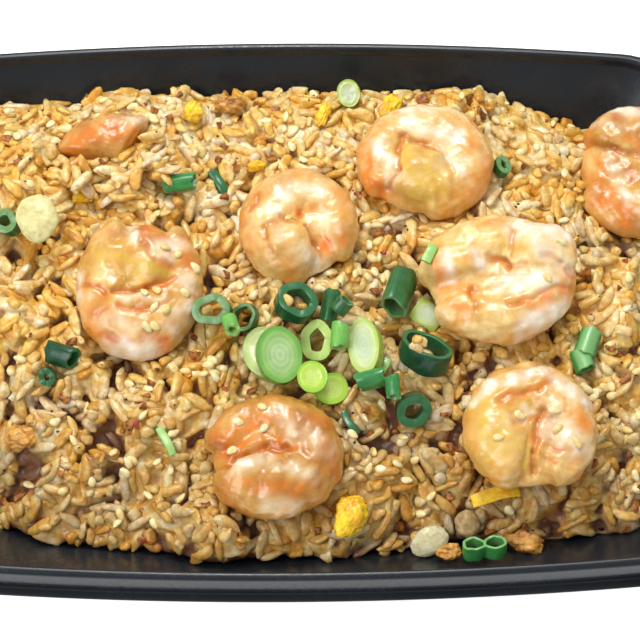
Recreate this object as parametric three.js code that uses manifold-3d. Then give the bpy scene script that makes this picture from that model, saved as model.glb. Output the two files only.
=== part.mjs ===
// Fried rice in its rectangular takeaway tray, topped with curled shrimp, cut scallions, egg,
// garlic and sesame seeds.
//
// Millimetres, +Z up. The origin is the middle of the tray's underside, and +X runs along the tray.

import * as THREE from 'three';
import { mergeVertices } from 'three/addons/utils/BufferGeometryUtils.js';
import Module from 'manifold-3d';

const wasm = await Module();
wasm.setup();

const { degToRad, lerp, smoothstep, seededRandom } = THREE.MathUtils;

// ---------------------------------------------------------------- driving dimensions

const TRAY_LENGTH = 226;
const TRAY_WIDTH = 158.8;
const TRAY_HEIGHT = 44;
const TRAY_WALL = 0.9;
const CORNER_RADIUS = 20;
const CORNER_TIGHTENING = 0.3; // how much the corner radius shrinks for each millimetre inwards
const SIDE_BOW = 5.8; // how far the middle of a long side stands out beyond its ends
const END_BOW = 1.5;

const FLANGE_WIDTH = 2.2;
const SKIRT_HEIGHT = 8.5; // from the flange up to the rim
const RIM_WIDTH = 2.2;
const UPPER_WALL_LEAN = degToRad(42); // from the vertical
const UPPER_WALL_DEPTH = 17;
const LOWER_WALL_LEAN = degToRad(10);
const FLOOR_FILLET = 6;
const FLOOR_PANEL_INSET = 33; // the middle of the floor is raised a little, inside this line
const FLOOR_PANEL_RISE = 0.8;

const GAP = 0.4; // clearance between pieces that touch
const HEAP_CREST = 45.5;
const HEAP_EDGE_DROP = 24; // how far the heap falls from its crest to the rim line
const HEAP_EDGE_RUN = 9.7; // the distance over which most of that fall happens
const HEAP_CELL = 5.45; // size of the heap's facets
const PRESSED_IN = 3; // how far a shrimp is pressed into the rice

const GRAIN = { length: 7.4, width: 2.8, thickness: 2.4, count: 35 };
const SEED = { length: 3.3, width: 2.0, thickness: 1.3, count: 18 };
const SEGMENTS_OF_A_SHRIMP = 6;

// ---------------------------------------------------------------- materials

const blackPlastic = { color: 0x1b1c1e, roughness: 0.22 };
const cookedRice = { color: 0xc79d5f, roughness: 0.5 };
const shrimpMeat = { color: 0xf0b98c, roughness: 0.35 };
const greenScallion = { color: 0x2f7d3a, roughness: 0.4 };
const limeScallion = { color: 0x9cc84e, roughness: 0.4 };
const paleScallion = { color: 0xdbe6bf, roughness: 0.4 };
const cookedEgg = { color: 0xf2c02c, roughness: 0.55 };
const brownedEgg = { color: 0xc9842f, roughness: 0.55 };
const cookedGarlic = { color: 0xd8cfa4, roughness: 0.45 };

// ---------------------------------------------------------------- solids and geometry

function closedGeometry(geometry) {
  geometry.deleteAttribute('normal');
  geometry.deleteAttribute('uv');
  return mergeVertices(geometry, 1e-4);
}

function toSolid(geometry) {
  const closed = closedGeometry(geometry);
  const vertProperties = new Float32Array(closed.attributes.position.array);
  const triVerts = new Uint32Array(closed.index.array);
  return new wasm.Manifold(new wasm.Mesh({ numProp: 3, vertProperties, triVerts }));
}

function toGeometry(solid) {
  const { vertProperties, triVerts } = solid.getMesh();
  const geometry = new THREE.BufferGeometry();
  geometry.setAttribute('position', new THREE.BufferAttribute(vertProperties, 3));
  geometry.setIndex(new THREE.BufferAttribute(triVerts, 1));
  geometry.computeVertexNormals();
  return geometry;
}

function largestPiece(solid) {
  const pieces = solid.decompose();
  return pieces.reduce((best, piece) => (piece.volume() > best.volume() ? piece : best));
}

function moveVertices(geometry, mapPoint) {
  const position = geometry.attributes.position;
  const point = new THREE.Vector3();
  for (let i = 0; i < position.count; i += 1) {
    point.fromBufferAttribute(position, i);
    mapPoint(point, i);
    position.setXYZ(i, point.x, point.y, point.z);
  }
  return geometry;
}

// A body of revolution about Z. The profile's points are [radius, height].
function lathe(profile, sides) {
  const points = profile.map(([radius, height]) => new THREE.Vector2(radius, height));
  return new THREE.LatheGeometry(points, sides).rotateX(Math.PI / 2);
}

// ---------------------------------------------------------------- uneven surfaces

function makeWaves(count, wavelength, seed) {
  seededRandom(seed);
  return Array.from({ length: count }, () => {
    const heading = seededRandom() * Math.PI * 2;
    const frequency = (Math.PI * 2) / (wavelength * lerp(0.75, 1.35, seededRandom()));
    const phase = seededRandom() * Math.PI * 2;
    return { x: Math.cos(heading) * frequency, y: Math.sin(heading) * frequency, phase };
  });
}

function waveHeight(waves, x, y) {
  const sum = waves.reduce((total, wave) => total + Math.sin(x * wave.x + y * wave.y + wave.phase), 0);
  return sum / Math.sqrt(waves.length);
}

// ---------------------------------------------------------------- tray

// A station is one place round the tray's outline: a share of the straight part of each side, and
// the direction in which the corner radius is added.
function outlineStations() {
  const stations = [];
  const sides = [
    { from: [1, -1], to: [1, 1], facing: 0, steps: 2 },
    { from: [1, 1], to: [-1, 1], facing: 90, steps: 7 },
    { from: [-1, 1], to: [-1, -1], facing: 180, steps: 2 },
    { from: [-1, -1], to: [1, -1], facing: 270, steps: 7 },
  ];
  const cornerSteps = 5;
  for (const { from, to, facing, steps } of sides) {
    for (let i = 0; i < steps; i += 1) {
      const share = i / steps;
      stations.push({ x: lerp(from[0], to[0], share), y: lerp(from[1], to[1], share), facing });
    }
    for (let i = 0; i < cornerSteps; i += 1) {
      stations.push({ x: to[0], y: to[1], facing: facing + (90 * i) / cornerSteps });
    }
  }
  return stations;
}

const STATIONS = outlineStations();

// The point of the bowed outline at a station, moved in from the flange's edge by the inset.
function outlinePoint(station, inset) {
  const halfLength = TRAY_LENGTH / 2 - END_BOW - inset;
  const halfWidth = TRAY_WIDTH / 2 - SIDE_BOW - inset;
  const radius = CORNER_RADIUS - CORNER_TIGHTENING * inset;
  const facing = degToRad(station.facing);
  const x = station.x * (halfLength - radius) + Math.cos(facing) * radius;
  const y = station.y * (halfWidth - radius) + Math.sin(facing) * radius;
  const endBulge = (END_BOW * (1 - (y / halfWidth) ** 2)) / halfLength;
  const sideBulge = (SIDE_BOW * (1 - (x / halfLength) ** 2)) / halfWidth;
  return [x * (1 + endBulge), y * (1 + sideBulge)];
}

// A closed shell over the tray's outline. The profile's points are [inset, height], from a first
// point in the middle to a last point in the middle.
function outlineShell(profile) {
  const geometry = lathe(profile, STATIONS.length);
  return moveVertices(geometry, (point, index) => {
    const row = index % profile.length;
    const station = STATIONS[Math.floor(index / profile.length) % STATIONS.length];
    const inMiddle = row === 0 || row === profile.length - 1;
    const [x, y] = inMiddle ? [0, 0] : outlinePoint(station, profile[row][0]);
    point.set(x, y, profile[row][1]);
  });
}

const FLANGE_HEIGHT = TRAY_HEIGHT - SKIRT_HEIGHT;
const RIM_INSET = FLANGE_WIDTH + RIM_WIDTH;
const SHOULDER = { inset: RIM_INSET + 0.6, height: TRAY_HEIGHT - 2.2 };
const KNEE = {
  inset: SHOULDER.inset + UPPER_WALL_DEPTH * Math.tan(UPPER_WALL_LEAN),
  height: SHOULDER.height - UPPER_WALL_DEPTH,
};

// The fillet between the lower wall and the floor, for a wall surface moved in by the offset.
function filletPoints(offset) {
  const radius = FLOOR_FILLET - offset;
  const centreHeight = TRAY_WALL + FLOOR_FILLET;
  const wallFall = KNEE.height - centreHeight;
  const centreInset = KNEE.inset + wallFall * Math.tan(LOWER_WALL_LEAN) + FLOOR_FILLET;
  return [0, 1, 2, 3].map((step) => {
    const angle = lerp(LOWER_WALL_LEAN, Math.PI / 2, step / 3);
    return [centreInset - Math.cos(angle) * radius, centreHeight - Math.sin(angle) * radius];
  });
}

function trayShell() {
  const floorTop = TRAY_WALL + FLOOR_PANEL_RISE;
  const underWall = filletPoints(-TRAY_WALL).reverse();
  const profile = [
    [0, FLOOR_PANEL_RISE],
    [FLOOR_PANEL_INSET, FLOOR_PANEL_RISE],
    [FLOOR_PANEL_INSET - 1, 0],
    ...underWall,
    [KNEE.inset - 1.08, KNEE.height - 0.22],
    [SHOULDER.inset - 0.6, SHOULDER.height - 0.9],
    [FLANGE_WIDTH + TRAY_WALL, SHOULDER.height - 0.2],
    [FLANGE_WIDTH + TRAY_WALL, FLANGE_HEIGHT - TRAY_WALL],
    [0.3, FLANGE_HEIGHT - TRAY_WALL],
    [0, FLANGE_HEIGHT - TRAY_WALL / 2],
    [0.3, FLANGE_HEIGHT],
    [FLANGE_WIDTH, FLANGE_HEIGHT],
    [FLANGE_WIDTH, TRAY_HEIGHT - 0.8],
    [FLANGE_WIDTH + 0.7, TRAY_HEIGHT],
    [RIM_INSET - 0.6, TRAY_HEIGHT],
    [RIM_INSET, TRAY_HEIGHT - 0.7],
    [SHOULDER.inset, SHOULDER.height],
    [KNEE.inset, KNEE.height],
    ...filletPoints(0),
    [FLOOR_PANEL_INSET + 1, TRAY_WALL],
    [FLOOR_PANEL_INSET + 2, floorTop],
    [0, floorTop],
  ];
  return outlineShell(profile);
}

// The space that food may fill: the inside of the tray, less the gap, and straight up from the rim.
function foodSpace() {
  const roof = TRAY_HEIGHT * 2;
  const profile = [
    [0, TRAY_WALL + FLOOR_PANEL_RISE + GAP],
    [FLOOR_PANEL_INSET, TRAY_WALL + FLOOR_PANEL_RISE + GAP],
    ...filletPoints(GAP).reverse(),
    [KNEE.inset + GAP, KNEE.height + GAP],
    [SHOULDER.inset + GAP, SHOULDER.height + GAP / 2],
    [SHOULDER.inset + GAP, roof],
    [0, roof],
  ];
  return toSolid(outlineShell(profile));
}

// ---------------------------------------------------------------- heap of rice

// Rounded rises and hollows of the heap, by centre, radius and height.
const MOUNDS = [
  { x: -16, y: -67, radius: 11, height: 11 },
  { x: 11, y: -70, radius: 7, height: 11 },
  { x: -50, y: -66, radius: 20, height: -5 },
  { x: -94, y: -58, radius: 23, height: -40 },
  { x: 86, y: 62, radius: 18, height: -14 },
  { x: 48, y: 64, radius: 7, height: 4 },
  { x: 46, y: -67, radius: 17, height: -10 },
  { x: 92, y: -58, radius: 16, height: -6 },
];

const HEAP_LUMPS = makeWaves(7, 34, 11);
const HEAP_CLUMPS = makeWaves(9, 13, 12);
const HEAP_GRAINS = makeWaves(12, 6.5, 13);

// How far a point lies inside the tray's shoulder line.
function shoulderInset(x, y) {
  const bulge = SIDE_BOW * (1 - (x / (TRAY_LENGTH / 2)) ** 2);
  const sideInset = TRAY_WIDTH / 2 - SIDE_BOW + bulge - SHOULDER.inset - Math.abs(y);
  const endInset = TRAY_LENGTH / 2 - SHOULDER.inset - Math.abs(x);
  if (sideInset > CORNER_RADIUS || endInset > CORNER_RADIUS) {
    return Math.min(sideInset, endInset);
  }
  return CORNER_RADIUS - Math.hypot(CORNER_RADIUS - sideInset, CORNER_RADIUS - endInset);
}

function heapHeight(x, y) {
  const edgeDrop = HEAP_EDGE_DROP * Math.exp(-Math.max(shoulderInset(x, y), 0) / HEAP_EDGE_RUN);
  const lumps = 1.5 * waveHeight(HEAP_LUMPS, x, y) + 0.9 * waveHeight(HEAP_CLUMPS, x, y);
  const mounds = MOUNDS.reduce((total, mound) => {
    const distance = Math.hypot(x - mound.x, y - mound.y) / mound.radius;
    return total + mound.height * Math.exp(-(distance ** 2));
  }, 0);
  return HEAP_CREST - edgeDrop + lumps + mounds;
}

function heapBlock() {
  const length = TRAY_LENGTH - 10;
  const width = TRAY_WIDTH - 6;
  const columns = Math.round(length / HEAP_CELL);
  const rows = Math.round(width / HEAP_CELL);
  const depth = 10;
  const block = closedGeometry(new THREE.BoxGeometry(length, width, depth, columns, rows, 1));
  seededRandom(21);
  return moveVertices(block, (point) => {
    const onEdge = Math.abs(point.x) > length / 2 - 0.1 || Math.abs(point.y) > width / 2 - 0.1;
    if (point.z > 0) {
      point.x += onEdge ? 0 : lerp(-0.3, 0.3, seededRandom()) * HEAP_CELL;
      point.y += onEdge ? 0 : lerp(-0.3, 0.3, seededRandom()) * HEAP_CELL;
      const grains = 0.75 * waveHeight(HEAP_GRAINS, point.x, point.y);
      point.z = Math.max(heapHeight(point.x, point.y) + grains, 0);
    } else {
      point.z = -depth;
    }
  });
}

// A grain or seed: a body that tapers to both ends, lying along X.
function kernel({ length, width, thickness }) {
  const profile = [
    [0, -0.5],
    [0.46, -0.24],
    [0.46, 0.24],
    [0, 0.5],
  ];
  return lathe(profile, 5).rotateY(Math.PI / 2).scale(length, width, thickness);
}

// Lays a kernel on a surface at a point, turned by its heading and pitched to the slope there.
function layKernel(geometry, x, y, heading, surface, sink) {
  const reach = 1.5;
  const rise = surface(x + Math.cos(heading) * reach, y + Math.sin(heading) * reach);
  const fall = surface(x - Math.cos(heading) * reach, y - Math.sin(heading) * reach);
  const pitch = THREE.MathUtils.clamp(Math.atan2(rise - fall, reach * 2), -0.9, 0.9);
  geometry.rotateY(-pitch).rotateZ(heading).translate(x, y, surface(x, y) - sink);
  return toSolid(geometry);
}

// Places spread evenly over the heap's top, clear of the walls, each with its own heading.
function spreadPlaces(count, seed) {
  const places = [];
  const turn = Math.PI * (3 - Math.sqrt(5));
  seededRandom(seed);
  for (let i = 0; i < count; i += 1) {
    const reach = Math.sqrt((i + 0.5) / count);
    const x = Math.cos(i * turn) * reach * TRAY_LENGTH * 0.5;
    const y = Math.sin(i * turn) * reach * TRAY_WIDTH * 0.5;
    const heading = seededRandom() * Math.PI * 2;
    const share = seededRandom();
    if (shoulderInset(x, y) > 13 && heapHeight(x, y) > TRAY_HEIGHT * 0.6) {
      places.push({ x, y, heading, share });
    }
  }
  return places;
}

// Fuses kernels onto the heap wherever they miss the toppings.
function scatterKernels(heap, size, rise, seed, toppings) {
  let heaped = heap;
  for (const { x, y, heading, share } of spreadPlaces(size.count, seed)) {
    const grown = { ...size, length: size.length * lerp(0.85, 1.15, share) };
    const laid = layKernel(kernel(grown), x, y, heading, heapHeight, -size.thickness * rise);
    if (laid.intersect(toppings).isEmpty()) {
      heaped = heaped.add(laid);
    }
  }
  return heaped;
}

// ---------------------------------------------------------------- shrimp

// A peeled shrimp curled on its side. Angles are in degrees: the tail's tip lies at tailAngle and
// the body runs round by the sweep to the thick cut end, drawing inwards as it goes.
const SHRIMP = [
  {
    name: 'shrimp_left', x: -36.9, y: 1, length: 33, width: 43,
    tailAngle: 62, sweep: -318, head: [0.05, 0.12], seeds: 6,
  },
  {
    name: 'shrimp_back_left', x: 3.4, y: 18, length: 31.5, width: 34,
    tailAngle: -44, sweep: 330, head: [-0.1, -0.22], seeds: 1,
  },
  {
    name: 'shrimp_back', x: 36.3, y: 36.8, length: 36.5, width: 34.5,
    tailAngle: 222, sweep: -318, head: [-0.04, -0.14], seeds: 1,
  },
  {
    name: 'shrimp_right', x: 53.3, y: 0.6, length: 41, width: 36,
    tailAngle: 208, sweep: 342, head: [0.26, 0.16], seeds: 3,
  },
  {
    name: 'shrimp_front_right', x: 60.5, y: -39.6, length: 34, width: 36,
    tailAngle: -74, sweep: 334, head: null, seeds: 2,
  },
  {
    name: 'shrimp_front', x: -3, y: -46.5, length: 35.5, width: 33.5,
    tailAngle: 178, sweep: -342, head: null, seeds: 4,
  },
  {
    name: 'shrimp_corner', x: 91, y: 36.5, length: 33, width: 39,
    tailAngle: 196, sweep: 318, head: null, seeds: 0, sink: 2,
  },
  {
    name: 'shrimp_buried', x: -43.5, y: 41, length: 35, width: 28,
    tailAngle: 172, sweep: -112, head: null, open: true, seeds: 0, sink: 6.5,
  },
];

const SHRIMP_FLATNESS = 0.8; // its height off the table, for its thickness along it
const SHRIMP_EDGE = 0.98; // radius of the curl's outer side, as a share of half its length
const SHRIMP_MIDDLE = 0.5; // and that of its upper ridge

// Half the body's thickness, as a share of half the curl's length.
function shrimpThickness(share) {
  const swell = lerp(0.33, 0.48, smoothstep(share, 0, 0.4));
  const ridges = 1 - 0.06 * Math.abs(Math.cos(Math.PI * SEGMENTS_OF_A_SHRIMP * share));
  return swell * ridges;
}

function shrimpBody({ length, width, tailAngle, sweep }, grow) {
  const rings = 12;
  const sides = 8;
  const profile = [[0, 0]];
  for (let i = 0; i <= rings; i += 1) {
    profile.push([1, i / rings]);
  }
  profile.push([0, 1]);
  const body = lathe(profile, sides);
  const depth = Math.min(length, width) / 2;
  moveVertices(body, (point, index) => {
    const row = index % profile.length;
    const atTip = row === 0 || row === profile.length - 1;
    const share = point.z;
    const angle = degToRad(tailAngle + sweep * share);
    const end = row === 0 ? -1 : 1;
    const tipAngle = atTip ? (Math.sign(sweep) * end * (0.1 + grow / depth)) : 0;
    const swell = shrimpThickness(share);
    const bluntEnds = share < 0.01 || share > 0.99 ? 0.7 : 1;
    const ring = SHRIMP_EDGE - swell;
    const thick = atTip ? 0 : swell * bluntEnds + grow / depth;
    const across = ring + point.x * thick;
    const up = point.y * thick * (sweep > 0 ? -1 : 1);
    point.x = (Math.cos(angle + tipAngle) * across * length) / 2;
    point.y = (Math.sin(angle + tipAngle) * across * width) / 2;
    point.z = up * depth * SHRIMP_FLATNESS;
  });
  return toSolid(body);
}

// The thick cut end, where it is tucked over the middle of the curl.
function shrimpHead({ length, width, head }, grow) {
  const end = new THREE.IcosahedronGeometry(1, 1);
  end.scale(length * 0.25 + grow, width * 0.24 + grow, Math.min(length, width) * 0.17 + grow);
  end.translate(head[0] * length, head[1] * width, Math.min(length, width) * 0.07);
  return toSolid(end);
}

// A tight curl has no hole: the flesh of its two sides meets in the middle.
function shrimpBelly({ length, width }, grow) {
  const belly = new THREE.IcosahedronGeometry(1, 1);
  const depth = Math.min(length, width);
  belly.scale(length * 0.42 + grow, width * 0.42 + grow, depth * 0.15 + grow);
  belly.translate(0, 0, -depth * 0.02);
  return toSolid(belly);
}

function shrimpSolid(shrimp, grow) {
  const body = shrimpBody(shrimp, grow);
  const curled = shrimp.open ? body : body.add(shrimpBelly(shrimp, grow));
  return shrimp.head ? curled.add(shrimpHead(shrimp, grow)) : curled;
}

// The height of a solid's upper surface under a point, from its triangles.
function topOf(solid) {
  const geometry = toGeometry(solid);
  const mesh = new THREE.Mesh(geometry, new THREE.MeshBasicMaterial({ side: THREE.DoubleSide }));
  const ray = new THREE.Raycaster();
  const down = new THREE.Vector3(0, 0, -1);
  return (x, y) => {
    ray.set(new THREE.Vector3(x, y, TRAY_HEIGHT * 2), down);
    const hits = ray.intersectObject(mesh);
    return hits.length > 0 ? hits[0].point.z : 0;
  };
}

// Sesame seeds lie along the upper side of the curl, a little to one side or the other.
function addSeeds(solid, { length, width, tailAngle, sweep, seeds }) {
  const surface = topOf(solid);
  let seeded = solid;
  for (let i = 0; i < seeds; i += 1) {
    const angle = degToRad(tailAngle + sweep * lerp(0.15, 0.85, (i + 0.5) / seeds));
    const reach = SHRIMP_MIDDLE + 0.12 * Math.cos(i * 2.4);
    const x = (Math.cos(angle) * length * reach) / 2;
    const y = (Math.sin(angle) * width * reach) / 2;
    seeded = seeded.add(layKernel(kernel(SEED), x, y, angle * 2, surface, -SEED.thickness * 0.3));
  }
  return seeded;
}

// ---------------------------------------------------------------- scallions, egg and garlic

// Every shape is made standing on Z about its own middle. Grow adds a skin of that thickness.

function ringShape({ length, width, wall, height, sides = 8 }, grow) {
  const outer = length / 2 + grow;
  const inner = length / 2 - wall - grow;
  const half = height / 2 + grow;
  const profile = [
    [inner, -half],
    [outer, -half],
    [outer, half],
    [inner, half],
    [inner, -half],
  ];
  return toSolid(lathe(profile, sides).scale(1, (width / 2 + grow) / outer, 1));
}

// A cut across the white of a scallion: a low drum whose layers step down to a hollow middle.
function sliceShape({ length, width, height }, grow) {
  const outer = length / 2 + grow;
  const half = height / 2 + grow;
  const profile = [
    [0, -half],
    [outer * 0.86, -half],
    [outer, 0],
    [outer * 0.9, half],
    [outer * 0.5, half * 0.7],
    [0, half * 0.9],
  ];
  return toSolid(lathe(profile, 9).scale(1, (width / 2 + grow) / outer, 1));
}

// A strip of leaf wall, curved across its width as the tube that it was cut from.
function stripShape({ length, width, wall, curve, hook = 0 }, grow) {
  const strip = new THREE.BoxGeometry(length + grow * 2, width + grow * 2, wall + grow * 2, 4, 2, 1);
  moveVertices(strip, (point) => {
    const across = point.y / curve;
    const along = point.x / length;
    const outside = curve + point.z;
    point.y = Math.sin(across) * outside + hook * along ** 2;
    point.z = Math.cos(across) * outside - curve - 0.06 * length * (2 * along) ** 2;
  });
  return toSolid(strip);
}

// A soft uneven chunk, from a faceted ball pressed in and out by waves.
function chunkShape({ length, width, height, seed, uneven = 0.18 }, grow) {
  const waves = makeWaves(5, 1.6, seed);
  const chunk = closedGeometry(new THREE.IcosahedronGeometry(1, 1));
  moveVertices(chunk, (point) => {
    const swell = 1 + uneven * waveHeight(waves, point.x + point.z, point.y - point.z);
    point.x *= (length / 2) * swell + grow;
    point.y *= (width / 2) * swell + grow;
    point.z *= (height / 2) * swell + grow;
  });
  return toSolid(chunk);
}

// Two rings side by side: a tube pinched into a figure of eight.
function pinchedShape(piece, grow) {
  const reach = piece.length * 0.24;
  const half = { ...piece, length: piece.length * 0.56, width: piece.width };
  const left = ringShape(half, grow).translate([-reach, 0, 0]);
  return left.add(ringShape(half, grow).translate([reach, piece.width * 0.12, 0]));
}

// A tube folded over: its two ends point in different directions.
function foldedShape(piece, grow) {
  const upper = ringShape(piece, grow).rotate([90, 0, -20]).translate([0.9, 2.6, 0.6]);
  const lower = ringShape({ ...piece, height: piece.height * 0.8 }, grow);
  return upper.add(lower.rotate([90, 0, 15]).translate([-0.6, -2.2, -0.2]));
}

// Toppings, from those lying lowest to those on top. The axis leans from the vertical towards the
// heading, and the spin turns the piece about its own axis; all are in degrees.
const TOPPINGS = [
  // the chopped scallions in the middle
  { name: 'scallion_slice_under', shape: sliceShape, look: paleScallion, x: -4.8, y: -17.9,
    length: 11, width: 14.4, height: 3.4, lean: 12, heading: 200, spin: 20 },
  { name: 'scallion_slice_large', shape: sliceShape, look: limeScallion, x: -1.5, y: -21.2,
    length: 11.2, width: 14.8, height: 4.4, lean: 16, heading: -60, spin: 12 },
  { name: 'scallion_petal_front', shape: sliceShape, look: limeScallion, x: 11.8, y: -28.2,
    length: 8.4, width: 8, height: 2.2, lean: 18, heading: -60, spin: 30 },
  { name: 'scallion_petal_middle', shape: sliceShape, look: limeScallion, x: 6.9, y: -27,
    length: 7.8, width: 8, height: 2.2, lean: 16, heading: -110, spin: 0 },
  { name: 'scallion_petal_back', shape: ringShape, look: limeScallion, x: 8, y: -15.3,
    length: 8.2, width: 10.4, wall: 1.5, height: 3.2, lean: 18, heading: -100, spin: 0 },
  { name: 'scallion_ring_left', shape: ringShape, look: greenScallion, x: -17.8, y: -8.1,
    length: 9.6, width: 8, wall: 1.7, height: 4.2, lean: 24, heading: -110, spin: 0 },
  { name: 'scallion_ring_thin', shape: ringShape, look: greenScallion, x: -9.8, y: -7.9,
    length: 7, width: 7.2, wall: 0.9, height: 3, lean: 30, heading: -140, spin: 20 },
  { name: 'scallion_tube_light', shape: ringShape, look: limeScallion, x: -13.4, y: -13.6,
    length: 4, width: 3.8, wall: 1.2, height: 4.6, lean: 70, heading: -75, spin: 0 },
  { name: 'scallion_curl_dark', shape: ringShape, look: greenScallion, x: 2.6, y: -8,
    length: 10.4, width: 10, wall: 1.4, height: 4.2, lean: 18, heading: 20, spin: 0 },
  { name: 'scallion_tube_middle', shape: ringShape, look: greenScallion, x: 11.3, y: -6.2,
    length: 4.6, width: 4.4, wall: 1, height: 7.2, lean: 74, heading: 80, spin: 0 },
  { name: 'scallion_tube_short', shape: ringShape, look: greenScallion, x: 14.4, y: -8.5,
    length: 4.4, width: 4.2, wall: 1, height: 4, lean: 60, heading: 40, spin: 0 },
  { name: 'scallion_tube_behind', shape: ringShape, look: limeScallion, x: 14, y: -15.6,
    length: 4.4, width: 4, wall: 1, height: 6, lean: 80, heading: 85, spin: 0 },
  { name: 'scallion_slice_oval', shape: sliceShape, look: paleScallion, x: 20, y: -17.4,
    length: 8.6, width: 15.6, height: 3, lean: 24, heading: 185, spin: 8 },
  { name: 'scallion_tube_wide', shape: ringShape, look: greenScallion, x: 28.6, y: -1.9,
    length: 8.8, width: 6.6, wall: 1.1, height: 11, lean: 72, heading: -105, spin: 90 },
  { name: 'scallion_sheet_pale', shape: stripShape, look: paleScallion, x: 36.2, y: -6.9,
    length: 7.8, width: 6.8, wall: 1, curve: 7, lean: 15, heading: -60, spin: -35 },
  { name: 'scallion_strip_back', shape: stripShape, look: greenScallion, x: 36.5, y: 4.8,
    length: 5.6, width: 2.6, wall: 0.9, curve: 3, lean: 10, heading: 0, spin: 65 },
  { name: 'scallion_tube_open', shape: ringShape, look: greenScallion, x: 34.3, y: -19.5,
    length: 13.6, width: 10.6, wall: 1.1, height: 5.4, lean: 30, heading: 60, spin: -38 },
  { name: 'scallion_ring_dark', shape: ringShape, look: greenScallion, x: 31.7, y: -33.5,
    length: 8.6, width: 8.4, wall: 1.2, height: 4.6, lean: 38, heading: -80, spin: 0 },
  { name: 'scallion_tube_low', shape: ringShape, look: greenScallion, x: 21.3, y: -27.3,
    length: 5, width: 4.6, wall: 1, height: 6.6, lean: 78, heading: 10, spin: 0 },
  { name: 'scallion_tube_side', shape: ringShape, look: greenScallion, x: 26.8, y: -30.2,
    length: 3.6, width: 3.6, wall: 1, height: 5.6, lean: 78, heading: 96, spin: 0 },
  { name: 'scallion_strip_bright', shape: stripShape, look: limeScallion, x: 24.4, y: -22.6,
    length: 6.4, width: 2, wall: 0.9, curve: 4, lean: 12, heading: 240, spin: 55 },
  { name: 'scallion_strip_front', shape: stripShape, look: greenScallion, x: 15.8, y: -36.7,
    length: 7, width: 1.9, wall: 0.9, curve: 3, lean: 8, heading: 0, spin: -62 },

  // scallions scattered over the rice
  { name: 'scallion_tube_flat', shape: ringShape, look: greenScallion, x: -27.4, y: 30.6,
    length: 4.8, width: 3.6, wall: 0.9, height: 8, lean: 86, heading: 5, spin: 90 },
  { name: 'scallion_strip_dark', shape: stripShape, look: greenScallion, x: -17.2, y: 33.1,
    length: 7.6, width: 2.6, wall: 0.9, curve: 1.9, lean: 12, heading: -60, spin: -58 },
  { name: 'scallion_ring_edge', shape: ringShape, look: greenScallion, x: -70.9, y: 19,
    length: 7, width: 6.4, wall: 1.4, height: 4, lean: 25, heading: 200, spin: 0 },
  { name: 'scallion_tube_left', shape: ringShape, look: greenScallion, x: -56, y: -18.1,
    length: 5.8, width: 4.8, wall: 1, height: 7.6, lean: 76, heading: -25, spin: 90 },
  { name: 'scallion_ring_small', shape: ringShape, look: greenScallion, x: -59.5, y: -23.4,
    length: 4.2, width: 4.6, wall: 1.1, height: 3.6, lean: 35, heading: -90, spin: 0 },
  { name: 'scallion_strip_hooked', shape: stripShape, look: greenScallion, x: 24.2, y: 49.4,
    length: 6, width: 2.6, wall: 0.9, curve: 3, hook: 1.6, lean: 5, heading: 0, spin: 52 },
  { name: 'scallion_ring_back', shape: ringShape, look: greenScallion, x: 56.1, y: 36,
    length: 4, width: 5.2, wall: 1.1, height: 3, lean: 22, heading: 10, spin: 25 },
  { name: 'scallion_slice_back', shape: sliceShape, look: paleScallion, x: 16.7, y: 61.1,
    length: 6.2, width: 7.4, height: 2.8, lean: 35, heading: -100, spin: 10 },
  { name: 'scallion_curl_front', shape: pinchedShape, look: greenScallion, x: 48.6, y: -68.6,
    length: 10.4, width: 5.4, wall: 1, height: 3.6, lean: 24, heading: 90, spin: 6 },
  { name: 'scallion_tube_folded', shape: foldedShape, look: greenScallion, x: 75, y: -17.6,
    length: 5.4, width: 4.2, wall: 1, height: 6.6, lean: 0, heading: 0, spin: 0 },
  { name: 'scallion_strip_lime', shape: stripShape, look: limeScallion, x: -29.5, y: -41.4,
    length: 8, width: 2, wall: 0.9, curve: 3, hook: 1, lean: 8, heading: 0, spin: -62 },

  // egg
  { name: 'egg_front', shape: chunkShape, look: cookedEgg, x: 15.9, y: -60.2,
    length: 7.4, width: 11, height: 5.4, seed: 61, lean: 10, heading: -60, spin: -25 },
  { name: 'egg_left', shape: chunkShape, look: cookedEgg, x: -52.7, y: 30,
    length: 5.6, width: 4.8, height: 3.2, seed: 62, lean: 0, heading: 0, spin: 20 },
  { name: 'egg_back_left', shape: chunkShape, look: cookedEgg, x: -24.4, y: 54.3,
    length: 5.6, width: 6, height: 4.4, seed: 63, lean: 0, heading: 0, spin: 0 },
  { name: 'egg_small', shape: chunkShape, look: cookedEgg, x: -7.5, y: 37.4,
    length: 4.4, width: 3, height: 2.6, seed: 64, lean: 0, heading: 0, spin: 15 },
  { name: 'egg_strip', shape: chunkShape, look: cookedEgg, x: 9.9, y: 53.5,
    length: 7.8, width: 3.2, height: 2.8, seed: 65, lean: 0, heading: 0, spin: 70 },
  { name: 'egg_back', shape: chunkShape, look: cookedEgg, x: 28, y: 57.1,
    length: 5.4, width: 7.4, height: 4, seed: 66, lean: 0, heading: 0, spin: -20 },
  { name: 'egg_browned_back', shape: chunkShape, look: brownedEgg, x: -14.6, y: 58.8,
    length: 7.2, width: 4.6, height: 4.4, seed: 67, lean: 0, heading: 0, spin: 10 },
  { name: 'egg_browned_left', shape: chunkShape, look: brownedEgg, x: -65.9, y: -38.1,
    length: 7.6, width: 6, height: 4, seed: 68, lean: 0, heading: 0, spin: -15 },
  { name: 'egg_browned_front', shape: chunkShape, look: brownedEgg, x: 59.1, y: -65.1,
    length: 8.8, width: 5, height: 3.8, seed: 69, lean: 0, heading: 0, spin: -12 },
  { name: 'egg_flap', shape: stripShape, look: cookedEgg, x: 51.8, y: -54.6,
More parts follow.
